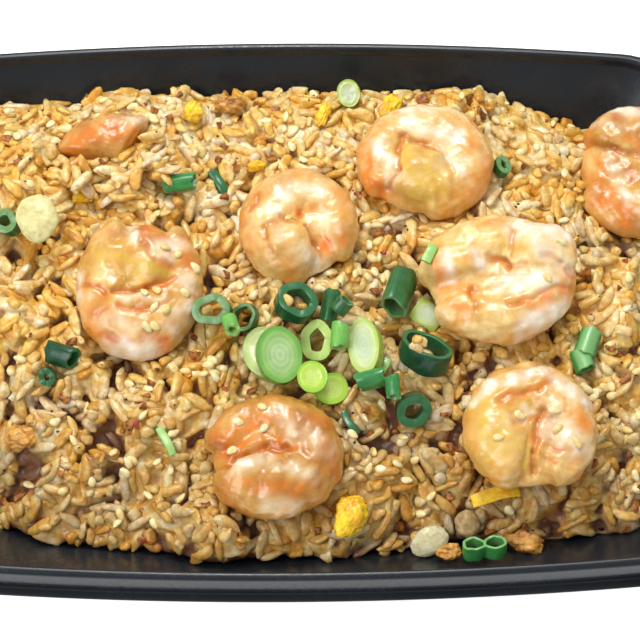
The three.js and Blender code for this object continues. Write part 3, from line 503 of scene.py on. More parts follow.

# %% [markdown]
# ## The shrimp
#
# A peeled shrimp curls up as it cooks, from the thin tail round to the thick cut end. It could be
# a bent cylinder, but cooked meat has lobes that run into one another. So a straight body is
# extruded ring by ring and laid round a curl, a ball is added for the cut end, and a voxel remesh
# melts them together. Creases and lumps are then pressed into the soft mesh.

# %% Where each shrimp lies and how it curls
# The middle and the size across are in mm, the angles in degrees, and the rest is measured from
# the middle. A crease runs from x, y to x, y and has a depth, which also sets its painted shade; a
# ridge has a width and a height; a lump is x, y, radius and height. Each tint is a stroke from x, y
# to x, y, with a width and a strength, and the pale strokes are partly pale meat and partly painted
# sheen. Sauce says how much of the meat has soaked it up.
SHRIMP = {
    "left": dict(
        middle=(-36.9, 1), size=(33, 43), tail=62, sweep=-318, head=(0.05, 0.12), sauce=0.6,
        creases=[(-13.1, -2.1, -8.2, -5.2, 1), (-5.5, -4.3, 2.4, -3.2, 1.7),
            (2.4, -3.2, 9.2, -1.2, 1.3), (-4.8, -9.4, 3.7, -9.6, 0.9), (3.7, -9.6, 6.9, -7.4, 0.6),
            (-9.8, -11.6, -7.6, -9.6, 0.6), (0, 18, 1.1, 7.9, 0.8), (1.1, 7.9, 4.5, 3.3, 0.7),
            (4.5, 3.3, 8.8, 2.7, 0.5), (-7.4, 3.1, -6.5, -0.5, 0.5),
            (-13.6, 0.2, -12.8, -2.7, 0.4)],
        ridge=[(-4.6, -6.8, 6.3, -6.8, 1.2, 0.7)],
        lumps=[(-1.5, 3.7, 6, 0.8), (4, 0.7, 4, 0.5), (-5, -13.2, 5, 0.4), (-11.3, -7.9, 4, 0.4)],
        orange=[(0.8, 17, 5.9, 10.9, 2.6, 1), (5.9, 10.9, 10.9, 6.5, 2.6, 1),
            (10.9, 6.5, 13.1, 3.8, 1.8, 0.9), (-13.1, -3, -8.2, -5.5, 1.8, 0.9),
            (-10.3, -10.9, -7.6, -9.6, 1.6, 0.9), (-14.8, -11.7, -6.2, -17.3, 2, 0.8),
            (-6.2, -17.3, 1.5, -18.3, 1.8, 0.8), (1.5, -18.3, 6.9, -17.2, 1.6, 0.8),
            (2.4, -3.5, 8.9, -2.1, 1.8, 0.8), (-4, -9.8, 3.7, -10.1, 1.8, 0.6),
            (6.7, 3.1, 11, 4.1, 2, 0.7), (-12.4, -7.1, -11.9, -11.5, 2.2, 0.6)],
        red=[(0.8, 17, 2.3, 7.9, 1.4, 0.9), (2, 13.7, 3.9, 16, 1.2, 0.7),
            (-7, -17.2, -5.1, -17.6, 0.9, 0.9), (5.9, -17.7, 6.9, -17.2, 0.8, 0.9),
            (3.2, -3.7, 4.6, -4.1, 0.9, 0.7), (-8.8, -5.1, -7.7, -5.6, 0.7, 0.8),
            (-5.6, -9.4, -5.6, -12.1, 0.8, 0.3)],
        yellow=[(-10, 6.1, -1.6, 6.8, 4.5, 0.6), (-2, -0.1, 6.2, 0.6, 3, 0.95),
            (-4.8, -0.3, -1.5, 1.9, 3, 0.6)],
        pale=[(3.9, 7.3, 9.7, 9.1, 2.2, 1), (6.1, 4.5, 8.8, 5.5, 1.4, 0.8),
            (-6.3, -19.2, 3.6, -20.1, 2.8, 1), (-15.5, 1.6, -15.3, -4.4, 1.6, 0.9),
            (11, 0.4, 13.3, -3.3, 2.4, 0.7), (9.1, -13.7, 13.3, -7.7, 2.6, 0.6),
            (-4.6, -6.8, 6.3, -6.8, 0.9, 0.7), (-7.8, -11.9, -0.6, -13.9, 3, 0.4),
            (-2.3, 17.1, -0.6, 9.4, 2, 0.8)],
    ),
    "back_left": dict(
        middle=(3.4, 18), size=(31.5, 34), tail=-44, sweep=330, head=(-0.1, -0.22), sauce=0.4,
        creases=[(0.3, 2, 0.3, 1.7, 2), (-4.7, -0.1, -1.5, -0.2, 0.9), (1.8, -2.5, 4.5, -7.1, 1),
            (-10.1, 7.2, -11.9, 1.7, 0.7), (-9.1, -3.3, -8.4, -7, 0.8), (-9.3, -3, -4.7, -1.4, 0.7),
            (-4.7, -1.4, -1.5, -3.1, 0.6), (-8.4, -7, -7, -11, 0.4), (4.5, -7.1, 5.9, -9.8, 0.5)],
        ridge=[],
        lumps=[(-2.8, -7.7, 5, 0.8), (8.2, -1.2, 4, 0.6), (-1.5, 7.4, 4.5, 0.4),
            (-9.3, -8.8, 4, 0.3)],
        orange=[(-0.1, 2, 1, 1.9, 1.8, 1), (12, 4, 9.6, -2.9, 2.4, 0.6),
            (5.9, -7.6, 10.5, -5.5, 2.2, 1), (4.5, -5.6, 5.9, -8.1, 1.6, 0.8),
            (-15, 1.8, -12.2, -8.9, 2.2, 0.7), (-8.6, 15.9, 7.8, 15, 1.8, 0.5),
            (-10.1, 7.2, -11.9, 1.7, 1, 0.7), (-9.1, -3.3, -8.4, -7, 0.9, 0.6),
            (3.1, 2.9, 5.9, 2.8, 2, 0.5), (9.7, 8.3, 12.4, 4.6, 2.2, 0.6)],
        red=[(0.3, 1.8, 0.8, 1.9, 0.7, 0.9), (7.3, -6.2, 8.6, -6.4, 1, 0.5),
            (-1.5, -14.4, -0.2, -14.1, 1.2, 0.4)],
        yellow=[(-4.3, 2, -1, -4, 1.6, 0.5), (-6.1, -4.8, 0.8, -8.3, 3, 0.25)],
        pale=[(-4.7, 6.7, -2.9, 5.7, 1.8, 0.9), (-7.5, 2, -5.6, 1.2, 1.8, 0.9),
            (5.9, 0.6, 9.1, -2.5, 1.8, 0.9), (9.1, -3.8, 10.3, -4.3, 1, 0.8),
            (3.1, -11.5, 7.7, -12.6, 2.6, 0.7), (-4.7, -5.8, 0.4, -10.2, 3.5, 0.4),
            (-1.5, 8.3, 5.9, 7.6, 2.4, 0.5)],
    ),
    "back": dict(
        middle=(36.3, 36.8), size=(36.5, 34.5), tail=222, sweep=-318, head=(-0.04, -0.14),
        sauce=0.4,
        creases=[(-6.7, 4.5, -7.4, -5.9, 1.4), (-6.1, 4.8, 3, 0.4, 1), (3, 0.4, 6.6, -6.6, 0.5),
            (6.6, -6.6, 6.6, -13.3, 0.4), (-7.4, -5.9, -9.4, -8.5, 0.9),
            (1.9, -9.1, 3.2, -15.3, 0.4), (-0.8, -3.2, 4, -3.6, 0.3), (-14.4, 0.7, -15, -4.2, 0.3)],
        ridge=[],
        lumps=[(-0.8, -7.6, 5.5, 0.7), (-5, -2.3, 3.5, 0.4), (-11.3, -0.7, 3.5, 0.4),
            (11.5, -2, 4, 0.4)],
        orange=[(-15.4, 3.2, -15.3, -7.9, 2.4, 1), (-13.4, -7.9, -10.3, -10.1, 2, 0.9),
            (11.1, 3.1, 15.9, -4, 3, 0.7), (8.7, -12.2, 15.3, -6.6, 2.6, 0.7),
            (15.9, -4, 15.3, -7, 2.2, 0.6), (-7.3, 11.9, -2.5, 13.1, 1.6, 0.4),
            (-6.7, 3.4, -7.3, -5.5, 0.8, 0.5)],
        red=[(-14, -7.9, -11.9, -9.1, 1.2, 0.5)],
        yellow=[(-4.9, 0.8, -5, -7.4, 3.2, 1), (0.3, -3.1, 1.4, -9.5, 3.4, 1),
            (-5, -8.8, 4, -13.3, 3, 0.95), (-8.1, -7.4, -4.9, -9.3, 2, 0.8),
            (5.5, -9.6, 8.7, -12.7, 3, 0.6)],
        pale=[(-13.3, 3.2, -9.2, -2.9, 2, 0.9), (-4.6, 12.3, 0.7, 11.9, 2.4, 0.6),
            (-5.3, 7.9, 7.9, 4.1, 2.2, 0.8), (5.7, -3, 9.3, -6.2, 1.6, 0.7),
            (-10.7, -1.3, -8.4, -7.4, 2, 0.7), (4.7, 2.6, 8.8, -2.4, 2, 0.5)],
    ),
    "right": dict(
        middle=(53.3, 0.6), size=(41, 36), tail=208, sweep=342, head=(0.26, 0.16), sauce=0.1,
        creases=[(1.5, 2.2, 2.9, 0.8, 1.9), (-2, 3.9, 1.5, 2.2, 0.7), (2.9, 0.8, 6.8, 0.7, 0.5),
            (4.1, 11.9, 3.8, 3.6, 0.8), (11.6, 3, 16.4, 1.7, 0.6), (2, -10.3, 4.9, -10.2, 0.9),
            (4.9, -9.6, 19.4, -3.2, 0.7), (-6.4, -4.6, -5.8, -11.1, 0.8),
            (16.4, 1.7, 19.2, -0.3, 0.4), (-5.7, -5.5, -0.8, -8.8, 0.4)],
        ridge=[],
        lumps=[(10.3, 8.3, 5.5, 0.9), (-9.9, 3.3, 5, 0.5), (8.3, -3.7, 5, 0.5),
            (13.7, -11.6, 4, 0.5), (-0.3, 8.4, 4, 0.3)],
        orange=[(-13.8, -3.6, -7, -5.4, 2.2, 1), (-12.8, -7.8, -7.7, -10.6, 2, 0.9),
            (2.3, -8.7, 9.2, -11.2, 2, 0.8), (9.2, -9.6, 19.4, -3.8, 2.2, 1),
            (-14.6, 7.4, -14.8, -1.8, 1.4, 0.7), (-8.2, 11.6, 3.8, 15.2, 1.6, 0.5),
            (-13.7, -0.6, -7.5, -4.5, 1.6, 0.8), (-0.4, 2.9, 3.2, 0.3, 1.4, 0.5)],
        red=[(16.7, 0, 19.2, -1.2, 0.55, 1)],
        yellow=[(2.8, -9.8, 9.2, -12.1, 1.8, 0.7), (-0.3, 8.9, 3.4, 5.7, 2.2, 0.35),
            (15.8, -11.6, 20.4, -4.4, 1.2, 0.3)],
        pale=[(5.7, 11.3, 16.3, 9.1, 3.6, 1), (11.7, 4.8, 15.9, 1.1, 2.6, 0.8),
            (-5.7, 4.3, -4.1, 1.8, 2, 0.9), (-13.1, 4.5, -11.6, -1.8, 1.5, 0.9),
            (3.1, -4, 12, -3.7, 3.2, 0.9), (7.1, -14.5, 19.1, -8.6, 2.4, 1),
            (5, -16.3, 8.2, -16.9, 1.6, 0.6)],
    ),
    "front_right": dict(
        middle=(60.5, -39.6), size=(34, 36), tail=-74, sweep=334, head=None, sauce=0.45,
        creases=[(0, -12.5, 0.2, -7.8, 2.4), (0.2, -7.8, 1.8, 0.2, 1.3), (1.8, 0.2, 2.8, 2.4, 0.6),
            (-7.9, 5.2, 2.1, 8, 0.8), (2.1, 8, 6.1, 10.4, 0.6), (-4.6, 1.5, -4, -1.1, 0.4),
            (-4, -1.1, -0.4, 0.8, 0.4), (5.1, -7.8, 8.9, -7.6, 0.5), (1.9, -8.3, 5.2, -10.5, 0.7),
            (2.9, 7.7, 4.6, 6.4, 0.4)],
        ridge=[(-10.6, 10.6, 2.4, 14, 1.2, 0.6)],
        lumps=[(-9.9, -2.4, 6.5, 0.9), (-1, 2.8, 2, 0.6), (-2.8, 0.1, 1.5, 0.4),
            (7.7, -3.7, 5, 0.5), (5.2, -11.6, 3, 0.3)],
        orange=[(-7.9, 5, -0.5, 7.2, 1.8, 0.9), (-0.5, 7.2, 6.1, 10.2, 1.8, 0.8),
            (0.1, 1.1, 3.3, -0, 1.6, 0.8), (11.4, 0.5, 13.9, -1.9, 2.2, 1),
            (-15.2, 9.4, -12.6, 10.7, 2, 0.5), (-0, -3.1, 0.7, -7.8, 1.6, 0.6),
            (-14.8, -3.4, -14.1, -7, 2, 0.4), (-4.1, 1.6, -3.7, -0.5, 0.9, 0.5)],
        red=[(8, 5.1, 8.6, 2.7, 0.55, 1), (5.5, -7.9, 6.8, -7.9, 0.6, 0.9),
            (11.2, -6.9, 12.5, -6.2, 0.7, 0.5)],
        yellow=[(-12.2, 3.5, -9.1, -8.4, 5, 0.95), (-2.3, -5.9, -2.1, -11.1, 1.6, 0.8),
            (-5.8, 3.9, -0.5, 4.9, 2.2, 0.6), (-4.8, -8.6, -1.9, -7.8, 2.4, 0.5)],
        pale=[(-13.8, 5.1, -9.9, 8.7, 1.6, 0.7), (-9.8, 9.5, -3.4, 10.3, 1.6, 0.9),
            (-3.4, 10.3, 3.3, 13.7, 1.8, 1), (6.1, 10.4, 14.4, 4.6, 1.8, 0.9),
            (5.3, -1.9, 11.2, -5.9, 3.4, 0.7), (4.2, 6.8, 7.1, 2, 1.8, 0.5),
            (-1.5, 3.2, -0.1, 2.8, 1.2, 0.7), (-2.8, 0.1, -2.3, 0.1, 0.9, 0.7)],
    ),
    "front": dict(
        middle=(-3, -46.5), size=(35.5, 33.5), tail=178, sweep=-342, head=None, sauce=0.9,
        creases=[(-10.6, -4.5, -6.1, -1.4, 1.8), (-6.1, -1.4, -1.5, 0.9, 1.5),
            (-1.5, 0.9, 3.2, -0.4, 1.4), (4.1, -0.1, 4.4, -0.5, 1.6), (4.4, -0.5, 9.2, -1.9, 0.4),
            (0.5, 10, 2.8, 2.6, 0.3), (12.8, -6.3, 15.1, -1.7, 0.3), (-9.7, -4, -11.1, -5.5, 0.8)],
        ridge=[],
        lumps=[(-0.8, -8.5, 6, 0.7), (11, 2.8, 6, 0.4), (-8.3, 2, 4, 0.4), (3.7, 4.8, 3, 0.3)],
        orange=[(-11.5, 2.8, -5.1, 6.4, 3.4, 1), (-12.1, -0.5, -7.4, -2, 2.4, 1),
            (-5.1, 6.4, 1.8, 9.3, 2.4, 0.8), (-7.4, 0.4, 1.8, 1.1, 2.8, 0.9),
            (-7.3, -9.9, 0.1, -11.5, 1.6, 0.7), (0.1, -11.5, 8.2, -10.2, 1.6, 0.8),
            (11, 8.7, 16.1, 7, 2.4, 0.8), (12.8, 0.4, 15.6, -4.8, 2.2, 0.5),
            (2.8, -0.4, 5.5, 0.4, 1.5, 0.9)],
        red=[(-11.1, -1.2, -7.9, -2.5, 1.3, 0.6), (-12.3, 2.5, -11.6, -1, 1, 0.5)],
        yellow=[(0.5, -6.8, 1.1, -6.9, 0.8, 1), (3.9, -8.4, 4.8, -8.6, 0.9, 1),
            (-2.7, -12.4, 2.8, -12.6, 2.2, 0.35)],
        pale=[(-7.9, -5, -0.9, -3.2, 2.2, 1), (-1.3, -4.6, 9.2, -7.6, 2.2, 0.7),
            (2.8, 6.8, 5.1, 2.8, 2, 0.7), (8.3, 3, 12.8, -1.2, 3, 0.5),
            (-1.3, -13.9, 5, -14.8, 2.2, 0.7)],
    ),
    "corner": dict(
        middle=(91, 36.5), size=(33, 39), tail=196, sweep=318, head=None, sauce=0.7,
        creases=[(-12.6, 7.5, -5.5, 3.9, 0.8), (-5.5, 3.9, 1.3, 2.4, 0.8),
            (-9.5, 0.6, -3.2, 0, 0.3)],
        ridge=[],
        lumps=[(-5.6, 12, 4, 0.4), (-4.3, -10.4, 4, 0.4)],
        orange=[(-9.8, 0.6, -9.8, -8, 2.4, 0.9), (-9.4, -10.2, -2.4, -16.3, 3.2, 1),
            (-2, 7.1, 1.3, 4.2, 1.8, 0.8), (-11.9, 13.2, -11.8, 7.5, 1.8, 0.6),
            (-7.5, -7.9, -4.4, -12.4, 2.4, 0.6)],
        red=[(-4.7, 13.2, -3.2, 12.4, 0.7, 1), (-5.1, 3, -4.2, 1.5, 0.8, 1),
            (-1.3, -0.5, -0.8, -5.2, 0.9, 0.8)],
        yellow=[(0.1, -5.5, 0.5, -7.6, 1.2, 0.8)],
        pale=[(-7.2, 17.8, 1.6, 16.1, 2.8, 0.9), (-6.5, 1.8, -4.4, -4.9, 1.8, 0.8),
            (-4.1, -7.6, -2, -12.2, 1.4, 1), (-10.1, 12.9, -4.3, 9.8, 2.4, 0.4),
            (-0.6, -14.8, 0.4, -16.8, 1.4, 0.6)],
    ),
    "buried": dict(
        middle=(-43.5, 41), size=(35, 28), tail=172, sweep=-112, head=None, sauce=0.8,
        creases=[(-3.6, 5.6, -1, 6.7, 0.4)],
        ridge=[],
        lumps=[],
        orange=[(-12.7, 3.4, -7.3, 5.2, 3.4, 1), (-7.3, 5.2, -1.6, 6.7, 3.2, 1),
            (-1.5, 5.1, 5.1, 6.6, 2.4, 0.7), (8.4, 10, 12.1, 8.1, 1.8, 0.5)],
        red=[(-4.2, 7.5, 1.5, 7.7, 0.8, 0.8)],
        yellow=[],
        pale=[(0.9, 9.4, 12.1, 11.8, 2.4, 0.8)],
    ),
}
TINTS = ("orange", "red", "yellow", "pale")
FLATNESS = 0.8  # height over thickness
EDGE = 0.98  # how far out the back of the curl lies, as a share of the size
SEGMENTS = 6  # rings of the shell's print along the back
print(len(SHRIMP), "shrimp")


# %% How thick a shrimp is along its back
def smooth_step(value, low, high):
    share = np.clip((value - low) / (high - low), 0, 1)
    return share * share * (3 - 2 * share)


def fade(apart, radius):
    """1 at no distance, falling smoothly to nothing over about two radii."""
    return np.exp(-((apart / radius) ** 2))


def body_thickness(share):
    swell = 0.33 + 0.15 * smooth_step(share, 0, 0.4)
    return swell * (1 - 0.05 * np.abs(np.cos(math.pi * SEGMENTS * share)) ** 6)


def rounded_ends(share):
    tail_end = 1 - ((0.04 - share) / 0.04).clip(0, 1) ** 2
    cut_end = 1 - ((share - 0.95) / 0.05).clip(0, 1) ** 2
    return np.sqrt(tail_end * cut_end) + 0.01


thickest = float(body_thickness(np.linspace(0, 1, 99)).max())
print("a body is", round(thickest, 2), "of its curl's radius at its thickest")


# %% Extrude a straight body and lay it round its curl
def straight_body(steps=56, sides=28):
    body = add_primitive(
        bpy.ops.mesh.primitive_circle_add, vertices=sides, radius=1, fill_type="NGON"
    )
    bpy.ops.object.mode_set(mode="EDIT")
    for _ in range(steps):
        bpy.ops.mesh.extrude_region_move(TRANSFORM_OT_translate={"value": (0, 0, 1 / steps)})
    deselect_all()
    return body


def curl_body(body, shrimp):
    points = read_points(body.data)
    even = np.clip(points[:, 2], 0, 1)
    share = 0.45 * even + 0.55 * (0.5 - 0.5 * np.cos(math.pi * even))
    angle = np.radians(shrimp["tail"] + shrimp["sweep"] * share)
    full = body_thickness(share)
    thick = full * rounded_ends(share)
    reach = EDGE - full + points[:, 0] * thick
    length, width = shrimp["size"]
    x, y = np.cos(angle) * reach * length / 2, np.sin(angle) * reach * width / 2
    up = points[:, 1] * thick * FLATNESS * min(length, width) / 2
    write_points(body.data, np.stack([x, y, up], 1) * MM)


# %% Add a ball and melt the parts together
def add_ball(body, shrimp, place, radii):
    length, width = shrimp["size"]
    across = Vector((length, width, min(length, width))) * MM
    ball = add_primitive(
        bpy.ops.mesh.primitive_uv_sphere_add, segments=28, ring_count=16, radius=1,
        location=across * Vector(place), scale=across * Vector(radii),
    )
    pick(body, ball)
    bpy.ops.object.join()


def melt_together(piece, voxel, rounds):
    edit_all(piece)
    bpy.ops.mesh.normals_make_consistent(inside=False)
    apply_modifier(piece, "REMESH", mode="VOXEL", voxel_size=voxel * MM)
    apply_modifier(piece, "SMOOTH", factor=0.5, iterations=rounds)
    shade_smooth(piece)


# %% [markdown]
# The meat isn't smooth: it swells between its folds, and its colour follows them. Sculpting by hand
# would do, but strokes kept as numbers can be redrawn at any time. Each stroke presses or raises
# the points near a line that wanders a little, and the tints lie along such lines too.


# %% Smooth noise and the distance to a stroke
def wave_noise(points, wavelength, seed):
    """A smooth value between about -1 and 1 at each point, from a few crossed waves."""
    rng = np.random.default_rng(seed)
    total = np.zeros(len(points))
    for _ in range(6):
        direction = rng.normal(size=3)
        direction *= 2 * math.pi / (wavelength * rng.uniform(0.8, 1.3) * np.linalg.norm(direction))
        total += np.sin(points @ direction + rng.uniform(0, 2 * math.pi))
    return total / 3


def distance_to_line(points, line):
    start, end = np.array(line[:2], float), np.array(line[2:], float)
    along = end - start + 1e-6
    share = np.clip((points[:, :2] - start) @ along / (along @ along), 0, 1)
    return np.linalg.norm(points[:, :2] - start - share[:, None] * along, axis=1)


# %% Press creases and lumps into the meat
CREASE_DEPTH, CREASE_RADIUS = 0.7, 0.8
RIM_HEIGHT, RIM_RADIUS = 0.18, 2.4


def sculpt_shrimp(piece, shrimp, seed):
    points = read_points(piece.data) / MM
    normals = read_normals(piece.data)
    upward = np.clip(normals[:, 2] * 1.6 + 0.3, 0, 1)
    push = 0.28 * wave_noise(points, 7, seed) + 0.13 * wave_noise(points, 3, seed + 1)
    push += 0.05 * wave_noise(points, 1.4, seed + 2)
    wander = np.stack([wave_noise(points, 5, seed + 3), wave_noise(points, 5, seed + 4)], 1) * 0.5
    wandered = points[:, :2] + wander
    for *line, depth in shrimp["creases"]:
        apart = distance_to_line(wandered, line)
        push -= CREASE_DEPTH * depth * fade(apart, CREASE_RADIUS) * upward
        push += RIM_HEIGHT * depth * fade(apart, RIM_RADIUS) * upward
    for *line, radius, height in shrimp["ridge"]:
        push += height * fade(distance_to_line(wandered, line), radius) * upward
    for x, y, radius, height in shrimp["lumps"]:
        apart = np.linalg.norm(wandered - (x, y), axis=1)
        push += height * fade(apart, radius) * upward
    write_points(piece.data, (points + normals * push[:, None]) * MM)
    return points, normals, wandered


depths = [line[-1] for shrimp in SHRIMP.values() for line in shrimp["creases"]]
print(len(depths), "creases, the deepest", round(CREASE_DEPTH * max(depths), 2), "mm")


# %% Paint where the tints lie
def paint_shrimp(piece, shrimp, points, normals, wandered, seed):
    length, width = shrimp["size"]
    angle = np.degrees(np.arctan2(points[:, 1] / width, points[:, 0] / length))
    turned = (angle - shrimp["tail"]) * math.copysign(1, shrimp["sweep"]) % 360
    share = turned / abs(shrimp["sweep"])
    reach = 2 * np.hypot(points[:, 0] / length, points[:, 1] / width)
    outer = smooth_step(reach, 0.55, 0.95)
    bands = fade((share * SEGMENTS) % 1 - 0.5, 0.16) * outer * 0.45
    # Painted shade: the down-facing sides of the meat get the orange tint, as if in shade.
    underside_shade = smooth_step(-normals[:, 2], -0.2, 0.6) * 0.35
    cloud = 0.75 + 0.35 * wave_noise(points, 4, seed + 5)
    for tint in TINTS:
        value = np.zeros(len(points))
        for *line, radius, strength in shrimp[tint]:
            value = np.maximum(value, strength * fade(distance_to_line(wandered, line), radius))
        if tint == "orange":
            value = np.maximum(value, bands + underside_shade)
        paint(piece.data, tint, np.clip(value * cloud, 0, 1))
    # Painted shade: the creases get the pressed tint, a deeper orange-brown where shade falls in
    # them.
    pressed = np.zeros(len(points))
    for *line, depth in shrimp["creases"]:
        stroke = min(depth, 1) * fade(distance_to_line(wandered, line), 0.9)
        pressed = np.maximum(pressed, stroke)
    paint(piece.data, "pressed", pressed)
    paint(piece.data, "sauce", shrimp["sauce"] + 0.2 * wave_noise(points, 9, seed + 6))


# %% [markdown]
# Cooked shrimp is a little see-through, so light enters it: subsurface scattering does that. A coat
# stands for the oil. The colour is built in layers, from clean or sauced meat, over its fine
# threads, to the painted tints, which a fine crackle breaks up. The pale tint is partly painted
# sheen, the pressed tint is painted shade in the creases, and the orange tint holds painted shade
# on the down-facing sides.

# %% Wet, cooked shrimp meat
shrimp_meat, tree, shader = new_material(
    "cooked shrimp", IOR=1.4, Subsurface_Weight=0.25, Coat_Weight=0.6, Coat_Roughness=0.16,
    Subsurface_Radius=(1.2 * MM, 0.9 * MM, 0.5 * MM),
)
clean = mottled(tree, "f8e0a0", "eebe68", 170.0, 0.14)["Colour"]
sauced = mottled(tree, "dcae58", "c48434", 190.0, 0.14)["Colour"]
meat = mix_colour(tree, attribute(tree, "sauce"), clean, sauced)
threads = mottled(tree, "ffffff", "e8b468", 520.0, 0.06)["Colour"]
meat = mix_colour(tree, 0.28, meat, threads, "MULTIPLY")
# The crackle breaks up the painted sheen of the pale tint, and the other tints with it.
crackle = mottled(tree, "ffffff", "000000", 420.0, 0.05)["Mask"]
# The pale tint is partly painted sheen, and the pressed tint is painted shade in the creases.
for tint, hex_colour, most in (
    ("yellow", "deb840", 0.85), ("orange", "ee861a", 0.92), ("pale", "fff4e2", 0.92),
    ("red", "d8541a", 0.75), ("pressed", "c4701c", 0.8),
):
    share = ranged(tree, attribute(tree, tint), 0.05, 0.85, 0.0, most)
    share = maths(tree, "MULTIPLY", share, ranged(tree, crackle, 0.0, 1.0, 0.82, 1.0))
    meat = mix_colour(tree, share, meat, linear(hex_colour))
soaked = ranged(tree, attribute(tree, "sauce"), 0.45, 0.95, 0.0, 0.8)
meat = mix_colour(tree, soaked, meat, linear("e4d2aa"), "MULTIPLY")
tree.links.new(meat, shader.inputs["Base Color"])
use_moisture(tree, shader, 1100.0, 0.12, 0.45, 0.24)

print(shrimp_meat.name, "has", len(tree.nodes), "nodes")

# %% Make the eight shrimp
shrimp_pieces = []
for i, (name, shrimp) in enumerate(SHRIMP.items()):
    node, seed = f"shrimp_{name}", 100 + i * 10
    body = straight_body()
    curl_body(body, shrimp)
    if name != "buried":  # a flat web fills the middle of a whole curl
        add_ball(body, shrimp, (0, 0, -0.02), (0.42, 0.42, 0.15))
    if shrimp["head"]:
        add_ball(body, shrimp, (*shrimp["head"], 0.07), (0.25, 0.24, 0.17))
    melt_together(body, voxel=0.55, rounds=4)
    paint_shrimp(body, shrimp, *sculpt_shrimp(body, shrimp, seed), seed)
    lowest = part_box(node)[0].z
    half_height = 0.48 * FLATNESS * min(shrimp["size"]) / 2 * MM
    body.location = (shrimp["middle"][0] * MM, shrimp["middle"][1] * MM, lowest + half_height)
    shrimp_pieces.append(finish_piece(body, f"cooked_{node}", "shrimp_meat", shrimp_meat, node))

# %% [markdown]
# ## Scallions, egg and garlic
#
# A scallion leaf is a thin tube, so a cut piece is a short ring with wobbly walls. It is an open
# cylinder that gets its wall from Solidify. A slice through the white part has layers, which are
# insets pressed up and down in turn. Egg and garlic are balls pressed out of shape.

